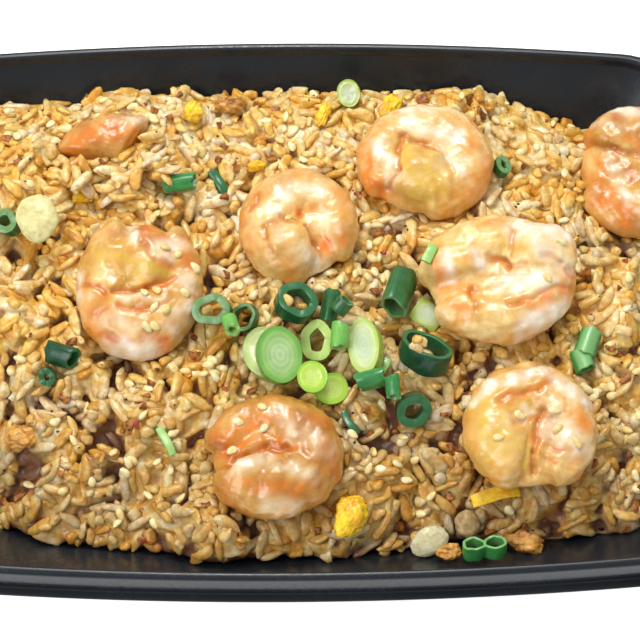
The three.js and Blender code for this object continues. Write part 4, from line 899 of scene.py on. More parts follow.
# %% The toppings and how each one lies
# Each row gives the CAD node, its kind, its finish, its length and width, its wall and height, and
# the lean, heading and spin in degrees. A strip's height is the radius of its curve, and a chunk's
# wall says how uneven it is.
TOPPINGS = [
    ("scallion_slice_under", "slice", "white", 11, 14.4, 0, 3.4, 12, 200, 20),
    ("scallion_slice_large", "slice", "lime", 11.2, 14.8, 0, 4.4, 16, -60, 12),
    ("scallion_petal_front", "slice", "bright", 8.4, 8, 0, 2.2, 18, -60, 30),
    ("scallion_petal_middle", "slice", "bright", 7.8, 8, 0, 2.2, 16, -110, 0),
    ("scallion_petal_back", "ring", "bright", 8.2, 10.4, 2.8, 3.2, 18, -100, 0),
    ("scallion_ring_left", "ring", "green", 9.6, 8, 2.4, 4.2, 24, -110, 0),
    ("scallion_ring_thin", "ring", "green", 7, 7.2, 1.3, 3, 30, -140, 20),
    ("scallion_tube_light", "ring", "light", 4, 3.8, 1.2, 4.6, 70, -75, 0),
    ("scallion_curl_dark", "ring", "dark", 10.4, 10, 2.6, 4.2, 18, 20, 0),
    ("scallion_tube_middle", "ring", "green", 4.6, 4.4, 1, 7.2, 74, 80, 0),
    ("scallion_tube_short", "ring", "green", 4.4, 4.2, 1, 4, 60, 40, 0),
    ("scallion_tube_behind", "ring", "light", 4.4, 4, 1, 6, 80, 85, 0),
    ("scallion_slice_oval", "slice", "pale", 8.6, 15.6, 0, 3, 24, 185, 8),
    ("scallion_tube_wide", "ring", "green", 8.8, 6.6, 1.1, 11, 72, -105, 90),
    ("scallion_sheet_pale", "strip", "pale", 7.8, 6.8, 1, 7, 15, -60, -35),
    ("scallion_strip_back", "strip", "light", 5.6, 2.6, 0.9, 3, 10, 0, 65),
    ("scallion_tube_open", "ring", "dark", 13.6, 10.6, 1.5, 5.4, 30, 60, -38),
    ("scallion_ring_dark", "ring", "dark", 8.6, 8.4, 2.6, 4.6, 38, -80, 0),
    ("scallion_tube_low", "ring", "mid", 5, 4.6, 1, 6.6, 78, 10, 0),
    ("scallion_tube_side", "ring", "mid", 3.6, 3.6, 1, 5.6, 78, 96, 0),
    ("scallion_strip_bright", "strip", "light", 6.4, 2, 0.9, 4, 12, 240, 55),
    ("scallion_strip_front", "strip", "dark", 7, 1.9, 0.9, 3, 8, 0, -62),
    ("scallion_tube_flat", "ring", "mid", 4.8, 3.6, 0.9, 8, 86, 5, 90),
    ("scallion_strip_dark", "strip", "dark", 7.6, 2.6, 0.9, 1.9, 12, -60, -58),
    ("scallion_ring_edge", "ring", "green", 7, 6.4, 2.2, 4, 25, 200, 0),
    ("scallion_tube_left", "ring", "dark", 5.8, 4.8, 1, 7.6, 76, -25, 90),
    ("scallion_ring_small", "ring", "dark", 4.2, 4.6, 1.7, 3.6, 35, -90, 0),
    ("scallion_strip_hooked", "strip", "mid", 6, 2.6, 0.9, 3, 5, 0, 52),
    ("scallion_ring_back", "ring", "green", 4, 5.2, 1.7, 3, 22, 10, 25),
    ("scallion_slice_back", "slice", "pale", 6.2, 7.4, 0, 2.8, 35, -100, 10),
    ("scallion_curl_front", "pinched", "mid", 10.4, 5.4, 1, 3.6, 24, 90, 6),
    ("scallion_tube_folded", "folded", "mid", 5.4, 4.2, 1, 6.6, 0, 0, 0),
    ("scallion_strip_lime", "strip", "light", 8, 2, 0.9, 3, 8, 0, -62),
    ("egg_front", "chunk", "egg", 7.4, 11, 0.16, 5.4, 10, -60, -25),
    ("egg_left", "chunk", "egg", 5.6, 4.8, 0.16, 3.2, 0, 0, 20),
    ("egg_back_left", "chunk", "egg", 5.6, 6, 0.16, 4.4, 0, 0, 0),
    ("egg_small", "chunk", "egg", 4.4, 3, 0.16, 2.6, 0, 0, 15),
    ("egg_strip", "chunk", "egg", 7.8, 3.2, 0.16, 2.8, 0, 0, 70),
    ("egg_back", "chunk", "egg", 5.4, 7.4, 0.16, 4, 0, 0, -20),
    ("egg_browned_back", "chunk", "browned", 7.2, 4.6, 0.18, 4.4, 0, 0, 10),
    ("egg_browned_left", "chunk", "browned", 7.6, 6, 0.18, 4, 0, 0, -15),
    ("egg_browned_front", "chunk", "browned", 8.8, 5, 0.18, 3.8, 0, 0, -12),
    ("egg_flap", "strip", "egg", 12, 3.4, 1.3, 6, 6, -90, 14),
    ("egg_edge", "chunk", "browned", 5.6, 4, 0.18, 3.2, 0, 0, 5),
    ("garlic_slice", "chunk", "garlic", 9.6, 7, 0.04, 2.6, 16, -80, 24),
    ("onion_piece", "chunk", "onion", 6.2, 7, 0.06, 3.6, 12, -80, 20),
    ("cabbage_piece", "chunk", "cabbage", 10.6, 13, 0.04, 4.4, 8, -90, 10),
]
SLOTS = {
    "white": "pale_scallion", "pale": "pale_scallion", "lime": "lime_scallion",
    "bright": "lime_scallion", "light": "lime_scallion", "green": "green_scallion",
    "mid": "green_scallion", "dark": "green_scallion", "egg": "cooked_egg",
    "browned": "browned_egg", "garlic": "pale_vegetable",
    "onion": "pale_vegetable", "cabbage": "pale_vegetable",
}
print(len(TOPPINGS), "toppings")


# %% Make a cut piece uneven, and give it a wall
def wobble(piece, amount, seed):
    """Makes a cut piece uneven: its outline swells and shrinks, and its ends are cut askew."""
    points = read_points(piece.data) / MM
    round_it = np.arctan2(points[:, 1], points[:, 0])
    rng = np.random.default_rng(seed)
    swell = sum(
        rng.uniform(-1, 1) * np.sin(k * round_it + rng.uniform(0, 6)) / k for k in (1, 2, 3, 5)
    )
    points[:, :2] *= (1 + amount * swell)[:, None]
    points[:, 2] *= 1 + 0.16 * np.sin(round_it + rng.uniform(0, 6)) + 0.05 * np.sin(5 * round_it)
    write_points(piece.data, points * MM)


def break_edges(piece, width, angle):
    apply_modifier(
        piece, "BEVEL", width=width * MM, segments=2, limit_method="ANGLE", angle_limit=angle
    )


def give_wall(piece, wall, offset, edge):
    apply_modifier(piece, "SOLIDIFY", thickness=wall * 0.8 * MM, offset=offset)
    break_edges(piece, edge, angle=0.8)


# %% Rings and tubes
def make_ring(length, width, wall, height, seed):
    ring = add_primitive(
        bpy.ops.mesh.primitive_cylinder_add, vertices=30, radius=length / 2 * MM, depth=height * MM,
        end_fill_type="NOTHING",
    )
    edit_all(ring)
    bpy.ops.transform.resize(value=(1, width / length, 1))
    bpy.ops.mesh.subdivide(number_cuts=2, smoothness=0)
    deselect_all()
    wobble(ring, 0.15, seed)
    give_wall(ring, wall, offset=-1, edge=0.16)
    return ring


# %% Layered slices
def make_slice(length, width, _, height, seed):
    disc = add_primitive(
        bpy.ops.mesh.primitive_cylinder_add, vertices=44, radius=length / 2 * MM,
        depth=height * MM * 0.9,
    )
    edit_all(disc)
    bpy.ops.transform.resize(value=(1, width / length, 1))
    for upper in (True, False):
        mesh = bmesh.from_edit_mesh(disc.data)
        for face in mesh.faces:
            face.select = len(face.verts) > 4 and (face.normal.z > 0) == upper
        mesh.select_flush(True)
        for step in (-0.18, 0.126, -0.18):
            bpy.ops.mesh.inset(thickness=length * 0.06 * MM, depth=step * MM)
            bpy.ops.mesh.inset(thickness=length * 0.035 * MM, depth=0)
    bpy.ops.mesh.select_all(action="DESELECT")
    mesh = bmesh.from_edit_mesh(disc.data)
    for face in mesh.faces:
        face.select = len(face.verts) > 4
    bpy.ops.mesh.poke()
    deselect_all()
    wobble(disc, 0.05, seed)
    break_edges(disc, 0.18, angle=0.7)
    apply_modifier(disc, "SMOOTH", factor=0.4, iterations=1)
    return disc


# %% Curved strips
def make_strip(length, width, wall, curve, seed):
    strip = add_primitive(
        bpy.ops.mesh.primitive_grid_add, x_subdivisions=22, y_subdivisions=8, size=MM
    )
    points = read_points(strip.data) / MM
    rng = np.random.default_rng(seed)
    across = points[:, 1] * width / curve
    along = points[:, 0] * 2
    narrowed = 1 - 0.12 * along**2 + 0.05 * np.sin(3 * along + rng.uniform(0, 6))
    bent = np.stack([
        points[:, 0] * length,
        np.sin(across) * curve * narrowed + 0.1 * length * along**2 * rng.uniform(-0.6, 1),
        (np.cos(across) - 1) * curve - 0.05 * length * along**2 + 0.15 * np.sin(4 * along),
    ], 1)
    write_points(strip.data, bent * MM)
    give_wall(strip, wall, offset=0, edge=0.14)
    return strip


# %% [markdown]
# Egg, garlic and cabbage have no cut wall. A ball with even triangles, scaled to the piece and
# swollen by noise of three sizes, gives their lumps, their dents and their torn grain at once.


# %% Uneven chunks
def make_chunk(length, width, uneven, height, seed):
    chunk = add_primitive(bpy.ops.mesh.primitive_ico_sphere_add, subdivisions=5, radius=0.5)
    points = read_points(chunk.data)
    lumps = wave_noise(points, 0.55, seed) + 0.5 * wave_noise(points, 0.24, seed + 1)
    lumps += 0.22 * wave_noise(points, 0.1, seed + 2)
    size = np.array([length, width, height])
    write_points(chunk.data, points * size * (1 + uneven * lumps)[:, None] * MM)
    return chunk


# %% Pinched and folded pieces
def melt_pair(first, second, voxel, rounds):
    pick(first, second)
    bpy.ops.object.transform_apply(location=True, rotation=True)
    bpy.ops.object.join()
    melt_together(first, voxel, rounds)
    return first


def make_pinched(length, width, wall, height, seed):
    pair = []
    for side in (-1, 1):
        ring = make_ring(length * 0.56, width, wall, height, seed + side)
        ring.location = (side * length * 0.24 * MM, (side + 1) * 0.06 * width * MM, 0)
        pair.append(ring)
    return melt_pair(*pair, voxel=0.16, rounds=3)


def make_folded(length, width, wall, height, seed):
    upper = make_ring(length, width, wall, height, seed)
    lower = make_ring(length, width, wall, height * 0.8, seed + 1)
    upper.location = (0.9 * MM, 2.6 * MM, 0.6 * MM)
    upper.rotation_euler = (math.radians(90), 0, math.radians(-20))
    lower.location = (-0.6 * MM, -2.2 * MM, -0.2 * MM)
    lower.rotation_euler = (math.radians(90), 0, math.radians(15))
    return melt_pair(upper, lower, voxel=0.18, rounds=4)


MAKERS = {
    "ring": make_ring, "slice": make_slice, "strip": make_strip, "chunk": make_chunk,
    "pinched": make_pinched, "folded": make_folded,
}
print("ways to cut a topping:", ", ".join(MAKERS))


# %% [markdown]
# The finish of a scallion runs from its skin to its heart: dark and glossy outside, pale and
# streaked at the cut, almost white in the middle. Each piece carries two painted values, how far
# from its middle a point lies and whether it was cut, and the materials read them.

# %% Green, lime and white scallion
# The colours of the skin where it is deep and where it is fresh, and of the cut.
LEAF = {
    "dark": ("0a3420", "18592f", "3c7a48"), "green": ("1e5028", "38783e", "7ea466"),
    "mid": ("25733a", "4a9c4c", "8cc076"), "light": ("55a045", "84c256", "b0d680"),
    "bright": ("8abf3c", "aed549", "cfe28a"),
}


def leaf_material(name):
    deep, fresh, cut = LEAF[name]
    material, tree, shader = new_material(
        f"{name} scallion leaf", IOR=1.42, Subsurface_Weight=0.2, Coat_Weight=0.35,
        Coat_Roughness=0.15, Subsurface_Radius=(0.4 * MM, 0.9 * MM, 0.3 * MM),
    )
    skin_map = add_node(tree, "ShaderNodeUVMap").outputs["UV"]
    fibres = add_node(tree, "ShaderNodeMapping", {"Vector": skin_map, "Scale": (60.0, 2.0, 1.0)})
    grown = {"Vector": fibres.outputs["Vector"], "Scale": 1.0, "Detail": 3.0}
    streaks = add_node(tree, "ShaderNodeTexNoise", grown).outputs["Fac"]
    skin = mix_colour(tree, ranged(tree, streaks, 0.35, 0.65), linear(deep), linear(fresh))
    blotch = mottled(tree, deep, fresh, 260.0, 0.12)["Colour"]
    skin = mix_colour(tree, 0.45, skin, blotch)
    inside = maths(tree, "MULTIPLY", attribute(tree, "inside"), 0.45)
    skin = mix_colour(tree, inside, skin, linear(cut))
    skin = mix_colour(tree, maths(tree, "MULTIPLY", attribute(tree, "cut"), 0.7), skin, linear(cut))
    tree.links.new(skin, shader.inputs["Base Color"])
    use_moisture(tree, shader, 1400.0, 0.06, 0.42, 0.25)
    return material


# The colours of a slice's rim, its flesh and its heart.
HEART = {
    "lime": ("5da03c", "98c066", "bfd2a4"), "bright": ("8fc43c", "bcda48", "d6e684"),
    "white": ("a4c064", "d4da9a", "e2e6bc"), "pale": ("adc84c", "d9e2ac", "ccd6ca"),
}


def slice_material(name):
    rim, flesh, heart = HEART[name]
    material, tree, shader = new_material(
        f"{name} scallion slice", IOR=1.4, Subsurface_Weight=0.3, Coat_Weight=0.4,
        Coat_Roughness=0.12, Subsurface_Radius=(0.8 * MM, 1.1 * MM, 0.6 * MM),
    )
    reach = attribute(tree, "reach")
    rings = maths(tree, "SINE", maths(tree, "MULTIPLY", reach, 31.0))
    layers = ranged(tree, rings, -1.0, 1.0)
    body = mix_colour(tree, ranged(tree, reach, 0.25, 0.8), linear(heart), linear(flesh))
    body = mix_colour(tree, ranged(tree, reach, 0.72, 1.0), body, linear(rim))
    body = mix_colour(tree, maths(tree, "MULTIPLY", layers, 0.28), body, linear(rim))
    cloudy = mottled(tree, flesh, rim, 330.0, 0.14)["Colour"]
    tree.links.new(mix_colour(tree, 0.2, body, cloudy), shader.inputs["Base Color"])
    use_moisture(tree, shader, 1300.0, 0.06, 0.4, 0.2)
    return material


print(len(LEAF), "leaf and", len(HEART), "slice finishes planned")

# %% [markdown]
# Egg, garlic, onion and cabbage are soft and fine-grained. One recipe serves them all: a body
# colour with fried patches, and small bright flecks where the surface is torn.

# %% Fried egg, browned egg and garlic
# The colours of the body, its fried patches and its flecks.
SOFT = {
    "egg": ("f4cf1e", "e59f16", "fbe650"), "browned": ("d99a3e", "a05c1e", "ecc26a"),
    "garlic": ("d0ca9e", "b6a878", "e4dfc0"), "onion": ("b89a66", "947544", "ccb282"),
    "cabbage": ("e0d696", "cdc07a", "ece4b2"),
}


def soft_material(name):
    body, fried, bright = SOFT[name]
    material, tree, shader = new_material(
        f"{name} food", IOR=1.4, Subsurface_Weight=0.25, Coat_Weight=0.2, Coat_Roughness=0.2,
        Subsurface_Radius=(1.2 * MM, 0.8 * MM, 0.4 * MM),
    )
    crust = mottled(tree, body, fried, 420.0, 0.12)["Colour"]
    light = mottled(tree, "000000", "ffffff", 900.0, 0.1)["Mask"]
    colour = mix_colour(tree, maths(tree, "MULTIPLY", light, 0.35), crust, linear(bright))
    tree.links.new(colour, shader.inputs["Base Color"])
    use_moisture(tree, shader, 1100.0, 0.16, 0.55, 0.32)
    return material


materials = {("leaf", name): leaf_material(name) for name in LEAF}
materials.update({("slice", name): slice_material(name) for name in HEART})
materials.update({("chunk", name): soft_material(name) for name in SOFT})
materials["leaf", "pale"] = materials["slice", "pale"]
materials["leaf", "egg"] = materials["chunk", "egg"]
print(len(materials), "topping finishes")


# %% Make and place every topping
def paint_topping(piece, length, width):
    points = read_points(piece.data) / MM
    normals = read_normals(piece.data)
    outline = np.stack([points[:, 0] / length * 2, points[:, 1] / width * 2], 1)
    reach = np.linalg.norm(outline, axis=1)
    outward = (outline / np.maximum(reach, 0.01)[:, None] * normals[:, :2]).sum(1)
    paint(piece.data, "reach", reach)
    paint(piece.data, "inside", smooth_step(-outward, 0.1, 0.6))
    paint(piece.data, "cut", smooth_step(np.abs(normals[:, 2]), 0.5, 0.9))


topping_pieces = []
for i, row in enumerate(TOPPINGS):
    node, kind, look, length, width, wall, height, lean, heading, spin = row
    piece = MAKERS[kind](length, width, wall, height, 300 + i * 3)
    paint_topping(piece, length, width)
    low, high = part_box(node)
    piece.location = (low + high) / 2
    piece.rotation_euler = (
        Matrix.Rotation(math.radians(heading), 3, "Z")
        @ Matrix.Rotation(math.radians(lean), 3, "Y")
        @ Matrix.Rotation(math.radians(spin - heading), 3, "Z")
    ).to_euler()
    shade_smooth(piece, sharpest=60)
    family = kind if kind in ("slice", "chunk") else "leaf"
    finish_piece(piece, f"cut_{node}", SLOTS[look], materials[family, look], node)
    topping_pieces.append(piece)

# %% [markdown]
# ## The rice
#
# Fried rice is thousands of loose grains, sticky enough to clump, with dark gaps between. A noise
# bump would never give their shadows, so the grains are real meshes. They are dropped one by one
# onto a height map of the heap: each falls until it touches at two places, tips to rest on both,
# and raises the map where it lies. A core of sticky rice fills the heap below them.

# %% The grid of a height map
CELL = 0.5
XS = np.arange(-112, 112.1, CELL)
YS = np.arange(-79, 79.1, CELL)
EMPTY = -100.0
print("a height map has", len(XS), "by", len(YS), "cells")


# %% Height maps of the heap, the tray and the toppings
def surface_tree(pieces):
    points, faces, offset = [], [], 0
    for piece in pieces:
        points.append(read_points(piece.data) / MM)
        faces.append(read_triangles(piece.data) + offset)
        offset += len(points[-1])
    return BVHTree.FromPolygons(np.concatenate(points).tolist(), np.concatenate(faces).tolist())


def height_map(tree, from_above=True):
    heights = np.full((len(XS), len(YS)), EMPTY if from_above else -EMPTY)
    start, way = (100.0, Vector((0, 0, -1))) if from_above else (-5.0, Vector((0, 0, 1)))
    for i, x in enumerate(XS):
        for j, y in enumerate(YS):
            hit = tree.ray_cast(Vector((x, y, start)), way)[0]
            if hit:
                heights[i, j] = hit.z
    return heights


rice_top = height_map(surface_tree([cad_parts["rice"]]))
tray_top = height_map(surface_tree([tray]))
food = surface_tree(shrimp_pieces + topping_pieces)
food_top = height_map(food)
food_under = height_map(food, from_above=False)
print("highest rice", round(float(rice_top.max()), 1), "mm")


# %% [markdown]
# The core is a copy of the heap's own solid. Its doubles are merged, a remesh gives it an even
# skin, and the top is pressed down by the depth of the loose grains.

# %% Look up a height map, and lay noise over it
def sample(heights, x, y):
    i = np.clip(np.rint((x - XS[0]) / CELL).astype(int), 0, len(XS) - 1)
    j = np.clip(np.rint((y - YS[0]) / CELL).astype(int), 0, len(YS) - 1)
    return heights[i, j]


def flat_noise(wavelength, seed):
    gx, gy = np.meshgrid(XS, YS, indexing="ij")
    points = np.stack([gx.ravel(), gy.ravel(), np.zeros(gx.size)], 1)
    return wave_noise(points, wavelength, seed).reshape(gx.shape)


clumps = 0.8 * flat_noise(17, 1) + 0.7 * flat_noise(9, 2)
print("clumps swell by up to", round(float(clumps.max()), 1), "mm")

# %% Core of the heap
GRAIN_DEPTH = 4.4
CORE_VOXEL = 1.1
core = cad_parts["rice"].copy()
core.data = core.data.copy()
bpy.context.scene.collection.objects.link(core)
core.parent = None
edit_all(core)
bpy.ops.mesh.remove_doubles(threshold=0.01 * MM)
apply_modifier(core, "REMESH", mode="VOXEL", voxel_size=CORE_VOXEL * MM)
points = read_points(core.data) / MM
normals = read_normals(core.data)
pressed = GRAIN_DEPTH - 1.0 * sample(clumps, points[:, 0], points[:, 1])
pressed -= 0.5 * wave_noise(points, 3, 5)
points[:, 2] -= pressed * np.clip(normals[:, 2] * 2, 0, 1)
inward = np.clip(1 - np.abs(normals[:, 2]), 0, 1) * 1.2
points[:, :2] -= normals[:, :2] * inward[:, None]
write_points(core.data, points * MM)
core_top = height_map(surface_tree([core]))
print("the core has", len(core.data.polygons), "faces")


# %% [markdown]
# A cooked grain is a plump spindle with blunt ends, sometimes bent, and often broken. A handful of
# shapes is modelled once. Every grain in the heap is a turned copy of one of them, and all the
# grains of a colour are one mesh.

# %% Model the grain shapes
def make_grain(segments, rings, bend, blunt, squash):
    grain = add_primitive(
        bpy.ops.mesh.primitive_uv_sphere_add, segments=segments, ring_count=rings, radius=0.5
    )
    edit_all(grain)
    bpy.ops.transform.rotate(value=math.pi / 2, orient_axis="Y", center_override=(0, 0, 0))
    deselect_all()
    points = read_points(grain.data)
    along = points[:, 0] * 2
    points[:, 1:] *= (1 + blunt * (along**2 - along**6))[:, None]
    points[:, 1] += bend * (along**2 - 0.5)
    points[:, 2] *= 1 - squash * np.clip(points[:, 1] * 2, 0, 1)
    points[:, 0] += 0.12 * points[:, 1] * np.sign(along) * along**2
    shape = (points, read_triangles(grain.data))
    bpy.data.objects.remove(grain, do_unlink=True)
    return shape


GRAIN_SHAPES = [
    make_grain(8, 8, bend, blunt, squash)
    for bend, blunt, squash in (
        (0.0, 0.3, 0.1), (0.14, 0.2, 0.3), (-0.2, 0.4, 0.0), (0.24, 0.1, 0.2), (-0.08, 0.7, 0.3)
    )
]
print(len(GRAIN_SHAPES), "grain shapes of", len(GRAIN_SHAPES[0][1]), "triangles")


# %% [markdown]
# Grains could be scattered by particles, but those pass through each other and don't export. A
# physics run of thousands of grains would take hours. Dropping them one after another onto a height
# map takes seconds and still piles them up, because each one lies on those before it.


# %% Where a dropped grain comes to rest
def rest_on(heights, x, y, heading, length, width, thickness):
    """Where a dropped grain comes to rest: the height of its middle and its slope along itself."""
    shares = np.array([-0.85, -0.6, -0.3, 0.0, 0.3, 0.6, 0.85])
    reach = shares * length / 2
    cos, sin = math.cos(heading), math.sin(heading)
    px, py = x + reach * cos, y + reach * sin
    side = width * 0.22
    left_edge = sample(heights, px - sin * side, py + cos * side)
    right_edge = sample(heights, px + sin * side, py - cos * side)
    ground = np.maximum(np.maximum(left_edge, right_edge), sample(heights, px, py))
    needed = ground + thickness * 0.16 * np.sqrt(1 - shares**2)
    left, right = needed[:3, None], needed[None, 4:]
    slopes = (right - left) / (reach[None, 4:] - reach[:3, None])
    at_middle = left - slopes * reach[:3, None]
    best = np.unravel_index(at_middle.argmax(), at_middle.shape)
    slope = slopes[best]
    middle = max(at_middle[best], needed[3])
    return middle, slope, px, py, reach


# %% Drop the grains one by one
def drop_grains(heights, target, ceiling, grains, seed, allowance, steepest=0.9, tries=14):
    """Drops the grains where the map lies furthest below its target, and returns where they lie."""
    rng = np.random.default_rng(seed)
    open_cells = np.argwhere(target > EMPTY / 2)
    patch = int(5.5 / CELL)
    laid = []
    for length, width, thickness, kind in grains:
        picks = open_cells[rng.integers(0, len(open_cells), tries)]
        lack = target[picks[:, 0], picks[:, 1]] - heights[picks[:, 0], picks[:, 1]]
        i, j = picks[lack.argmax()]
        x, y = XS[i] + rng.uniform(-0.2, 0.2), YS[j] + rng.uniform(-0.2, 0.2)
        heading = sample(grain_flow, x, y) + rng.normal(0, 0.75)
        middle, slope, px, py, reach = rest_on(heights, x, y, heading, length, width, thickness)
        line = middle + slope * reach
        too_high = (line + thickness * 0.3 > sample(target, px, py) + allowance)[1:-1].any()
        covered = (line + thickness * 0.45 > sample(ceiling, px, py)).any()
        if middle < 0 or abs(slope) > steepest or too_high or covered:
            continue
        i0, i1 = max(i - patch, 0), min(i + patch + 1, len(XS))
        j0, j1 = max(j - patch, 0), min(j + patch + 1, len(YS))
        dx, dy = XS[i0:i1, None] - x, YS[None, j0:j1] - y
        along = dx * math.cos(heading) + dy * math.sin(heading)
        across = dy * math.cos(heading) - dx * math.sin(heading)
        inside = 1 - (along / (length / 2)) ** 2 - (across / (width / 2)) ** 2
        top = middle + slope * along + thickness * 0.42 * np.sqrt(np.maximum(inside, 0))
        patch_map = heights[i0:i1, j0:j1]
        np.copyto(patch_map, np.maximum(patch_map, top), where=inside > 0)
        laid.append((x, y, middle, heading, math.atan(slope), length, width, thickness, kind))
    return laid


# %% Fill the heap
def grain_sizes(count, rng):
    """Long, plump and broken grains in the mix that a spoonful has."""
    for _ in range(count):
        broken = rng.random() < 0.35
        length = rng.uniform(2.6, 4.8) if broken else rng.uniform(6.0, 8.8)
        width = rng.uniform(2.2, 3.4)
        yield length, width, rng.uniform(1.4, 2.1), int(rng.integers(0, 100))


def valleys(wavelength, seed):
    """Narrow gaps that wind between the clumps, open in some places and closed in others."""
    line = fade(flat_noise(wavelength, seed), 0.2)
    return line * smooth_step(flat_noise(wavelength * 1.3, seed + 1), -0.2, 0.3)


GAP_DEPTH = 4.5
FOOD_CLEARANCE = 0.15
inside_heap = rice_top > EMPTY / 2
grain_flow = 2.4 * flat_noise(28, 61)  # the way most grains near a place point
gaps = np.maximum(valleys(15, 31), valleys(19, 41)) * (1 - 0.6 * smooth_step(YS, 0, 40))
heap_target = np.where(inside_heap, rice_top + 0.9 + clumps - GAP_DEPTH * gaps, EMPTY)
ceiling = food_under - FOOD_CLEARANCE
ground = np.maximum(core_top, tray_top)
bed_target = np.where(inside_heap, np.maximum(heap_target - 1.2, ground + 1.0), EMPTY)
grains = drop_grains(
    ground, bed_target, ceiling, grain_sizes(12000, np.random.default_rng(7)), 8, allowance=1.0
)
print(len(grains), "grains laid")


# %% [markdown]
# Sticky rice is bound by its own starch. So the core is drawn up between the grains, close below
# their tops, and a voxel remesh melts grains and core into clumps. Each point of the clumps then
# takes the tone of the grain it came from, and how deep it lies, which paints shade into the gaps.


# %% Draw the core up between the grains
def blur(heights, valid, reach):
    kernel = np.exp(-(np.arange(-3 * reach, 3 * reach + CELL, CELL) / reach) ** 2 / 2)
    total, weight = np.where(valid, heights, 0.0), valid.astype(float)
    for axis in (0, 1):
        total = np.apply_along_axis(np.convolve, axis, total, kernel, "same")
        weight = np.apply_along_axis(np.convolve, axis, weight, kernel, "same")
    return total / np.maximum(weight, 1e-6)


def lift_top(piece, level):
    points = read_points(piece.data) / MM
    normals = read_normals(piece.data)
    raised = np.maximum(points[:, 2], sample(level, points[:, 0], points[:, 1]))
    top_side = (normals[:, 2] > 0.3) & sample(inside_heap, points[:, 0], points[:, 1])
    points[:, 2] = np.where(top_side, raised, points[:, 2])
    write_points(piece.data, points * MM)


lift_top(core, blur(ground, inside_heap, 1.3) - 1.1 + 0.4 * flat_noise(7, 11) - 1.5 * gaps)
clump_tops = blur(heap_target + GAP_DEPTH * gaps, inside_heap, 2.0)
print("clumps rise to", round(float(clump_tops.max()), 1), "mm")


# %% Turn copies of a few shapes and join them into one mesh
def join_copies(name, shapes, rows, seed=0, uneven=0.0):
    rng = np.random.default_rng(seed)
    points, faces, tones, offset = [], [], [], 0
    for x, y, z, heading, pitch, length, width, thickness, kind in rows:
        shape, triangles = shapes[kind % len(shapes)]
        turn = np.array(
            Matrix.Translation((x, y, z))
            @ Matrix.Rotation(heading, 4, "Z")
            @ Matrix.Rotation(-pitch, 4, "Y")
            @ Matrix.Rotation(rng.uniform(-0.7, 0.7), 4, "X")
        )
        bent = shape * (1 + uneven * rng.uniform(-0.5, 0.5, (len(shape), 1)))
        bent[:, 1] += uneven * rng.uniform(-2, 2) * (shape[:, 0] ** 2 * 2 - 0.25)
        bent[:, 2] += uneven * rng.uniform(-1, 1) * (shape[:, 0] ** 2 * 2 - 0.25)
        bent[:, 1:] *= 1 + uneven * rng.uniform(-3, 3) * shape[:, :1]
        points.append((bent * (length, width, thickness)) @ turn[:3, :3].T + turn[:3, 3])
        faces.append(triangles + offset)
        tones.append(np.full(len(shape), kind / 100))
        offset += len(shape)
    mesh = bpy.data.meshes.new(name)
    mesh.from_pydata((np.concatenate(points) * MM).tolist(), [], np.concatenate(faces).tolist())
    paint(mesh, "tone", np.concatenate(tones))
    piece = bpy.data.objects.new(name, mesh)
    bpy.context.scene.collection.objects.link(piece)
    return piece


# %% Tone and depth of each point
DEEPEST_GAP = 5.0


def grain_tones(points, rows):
    """The tone of the nearest grain, for each point."""
    reaches = (-0.3, 0.0, 0.3)
    tree = KDTree(len(rows) * len(reaches))
    for i, (x, y, z, heading, pitch, length, *_) in enumerate(rows):
        way = Vector((math.cos(heading), math.sin(heading), math.sin(pitch))) * length
        for j, reach in enumerate(reaches):
            tree.insert(Vector((x, y, z)) + way * reach, i * len(reaches) + j)
    tree.balance()
    nearest = np.array([tree.find(point)[1] // len(reaches) for point in points])
    return np.array([row[-1] / 100 for row in rows])[nearest]


def depth_below_clumps(points):
    below = sample(clump_tops, points[:, 0], points[:, 1]) - points[:, 2]
    return np.clip(below / DEEPEST_GAP, 0, 1)


# %% Melt grains and core into clumps
GRAIN_UNEVENNESS = 0.16
CLUMP_VOXEL = 0.6
CLUMP_TRIANGLES = 190000

buried_grains = join_copies("grains_in_clumps", GRAIN_SHAPES, grains, 1, GRAIN_UNEVENNESS)
pick(core, buried_grains)
bpy.ops.object.join()
apply_modifier(core, "REMESH", mode="VOXEL", voxel_size=CLUMP_VOXEL * MM)
apply_modifier(core, "SMOOTH", factor=0.5, iterations=1)
melted = len(read_triangles(core.data))
apply_modifier(core, "DECIMATE", ratio=min(1.0, CLUMP_TRIANGLES / melted))
shade_smooth(core)
print("melted clumps had", melted, "triangles and keep", len(read_triangles(core.data)))

# %% [markdown]
# Fried grains are golden where the soy and oil reached them and nearly glassy where they did not.
# Their tones run from cream to brown, and a stain drifts across neighbouring grains. The finest
# speckle is partly painted sparkle, and painted shade darkens the rice towards the front and deep
# in the gaps.


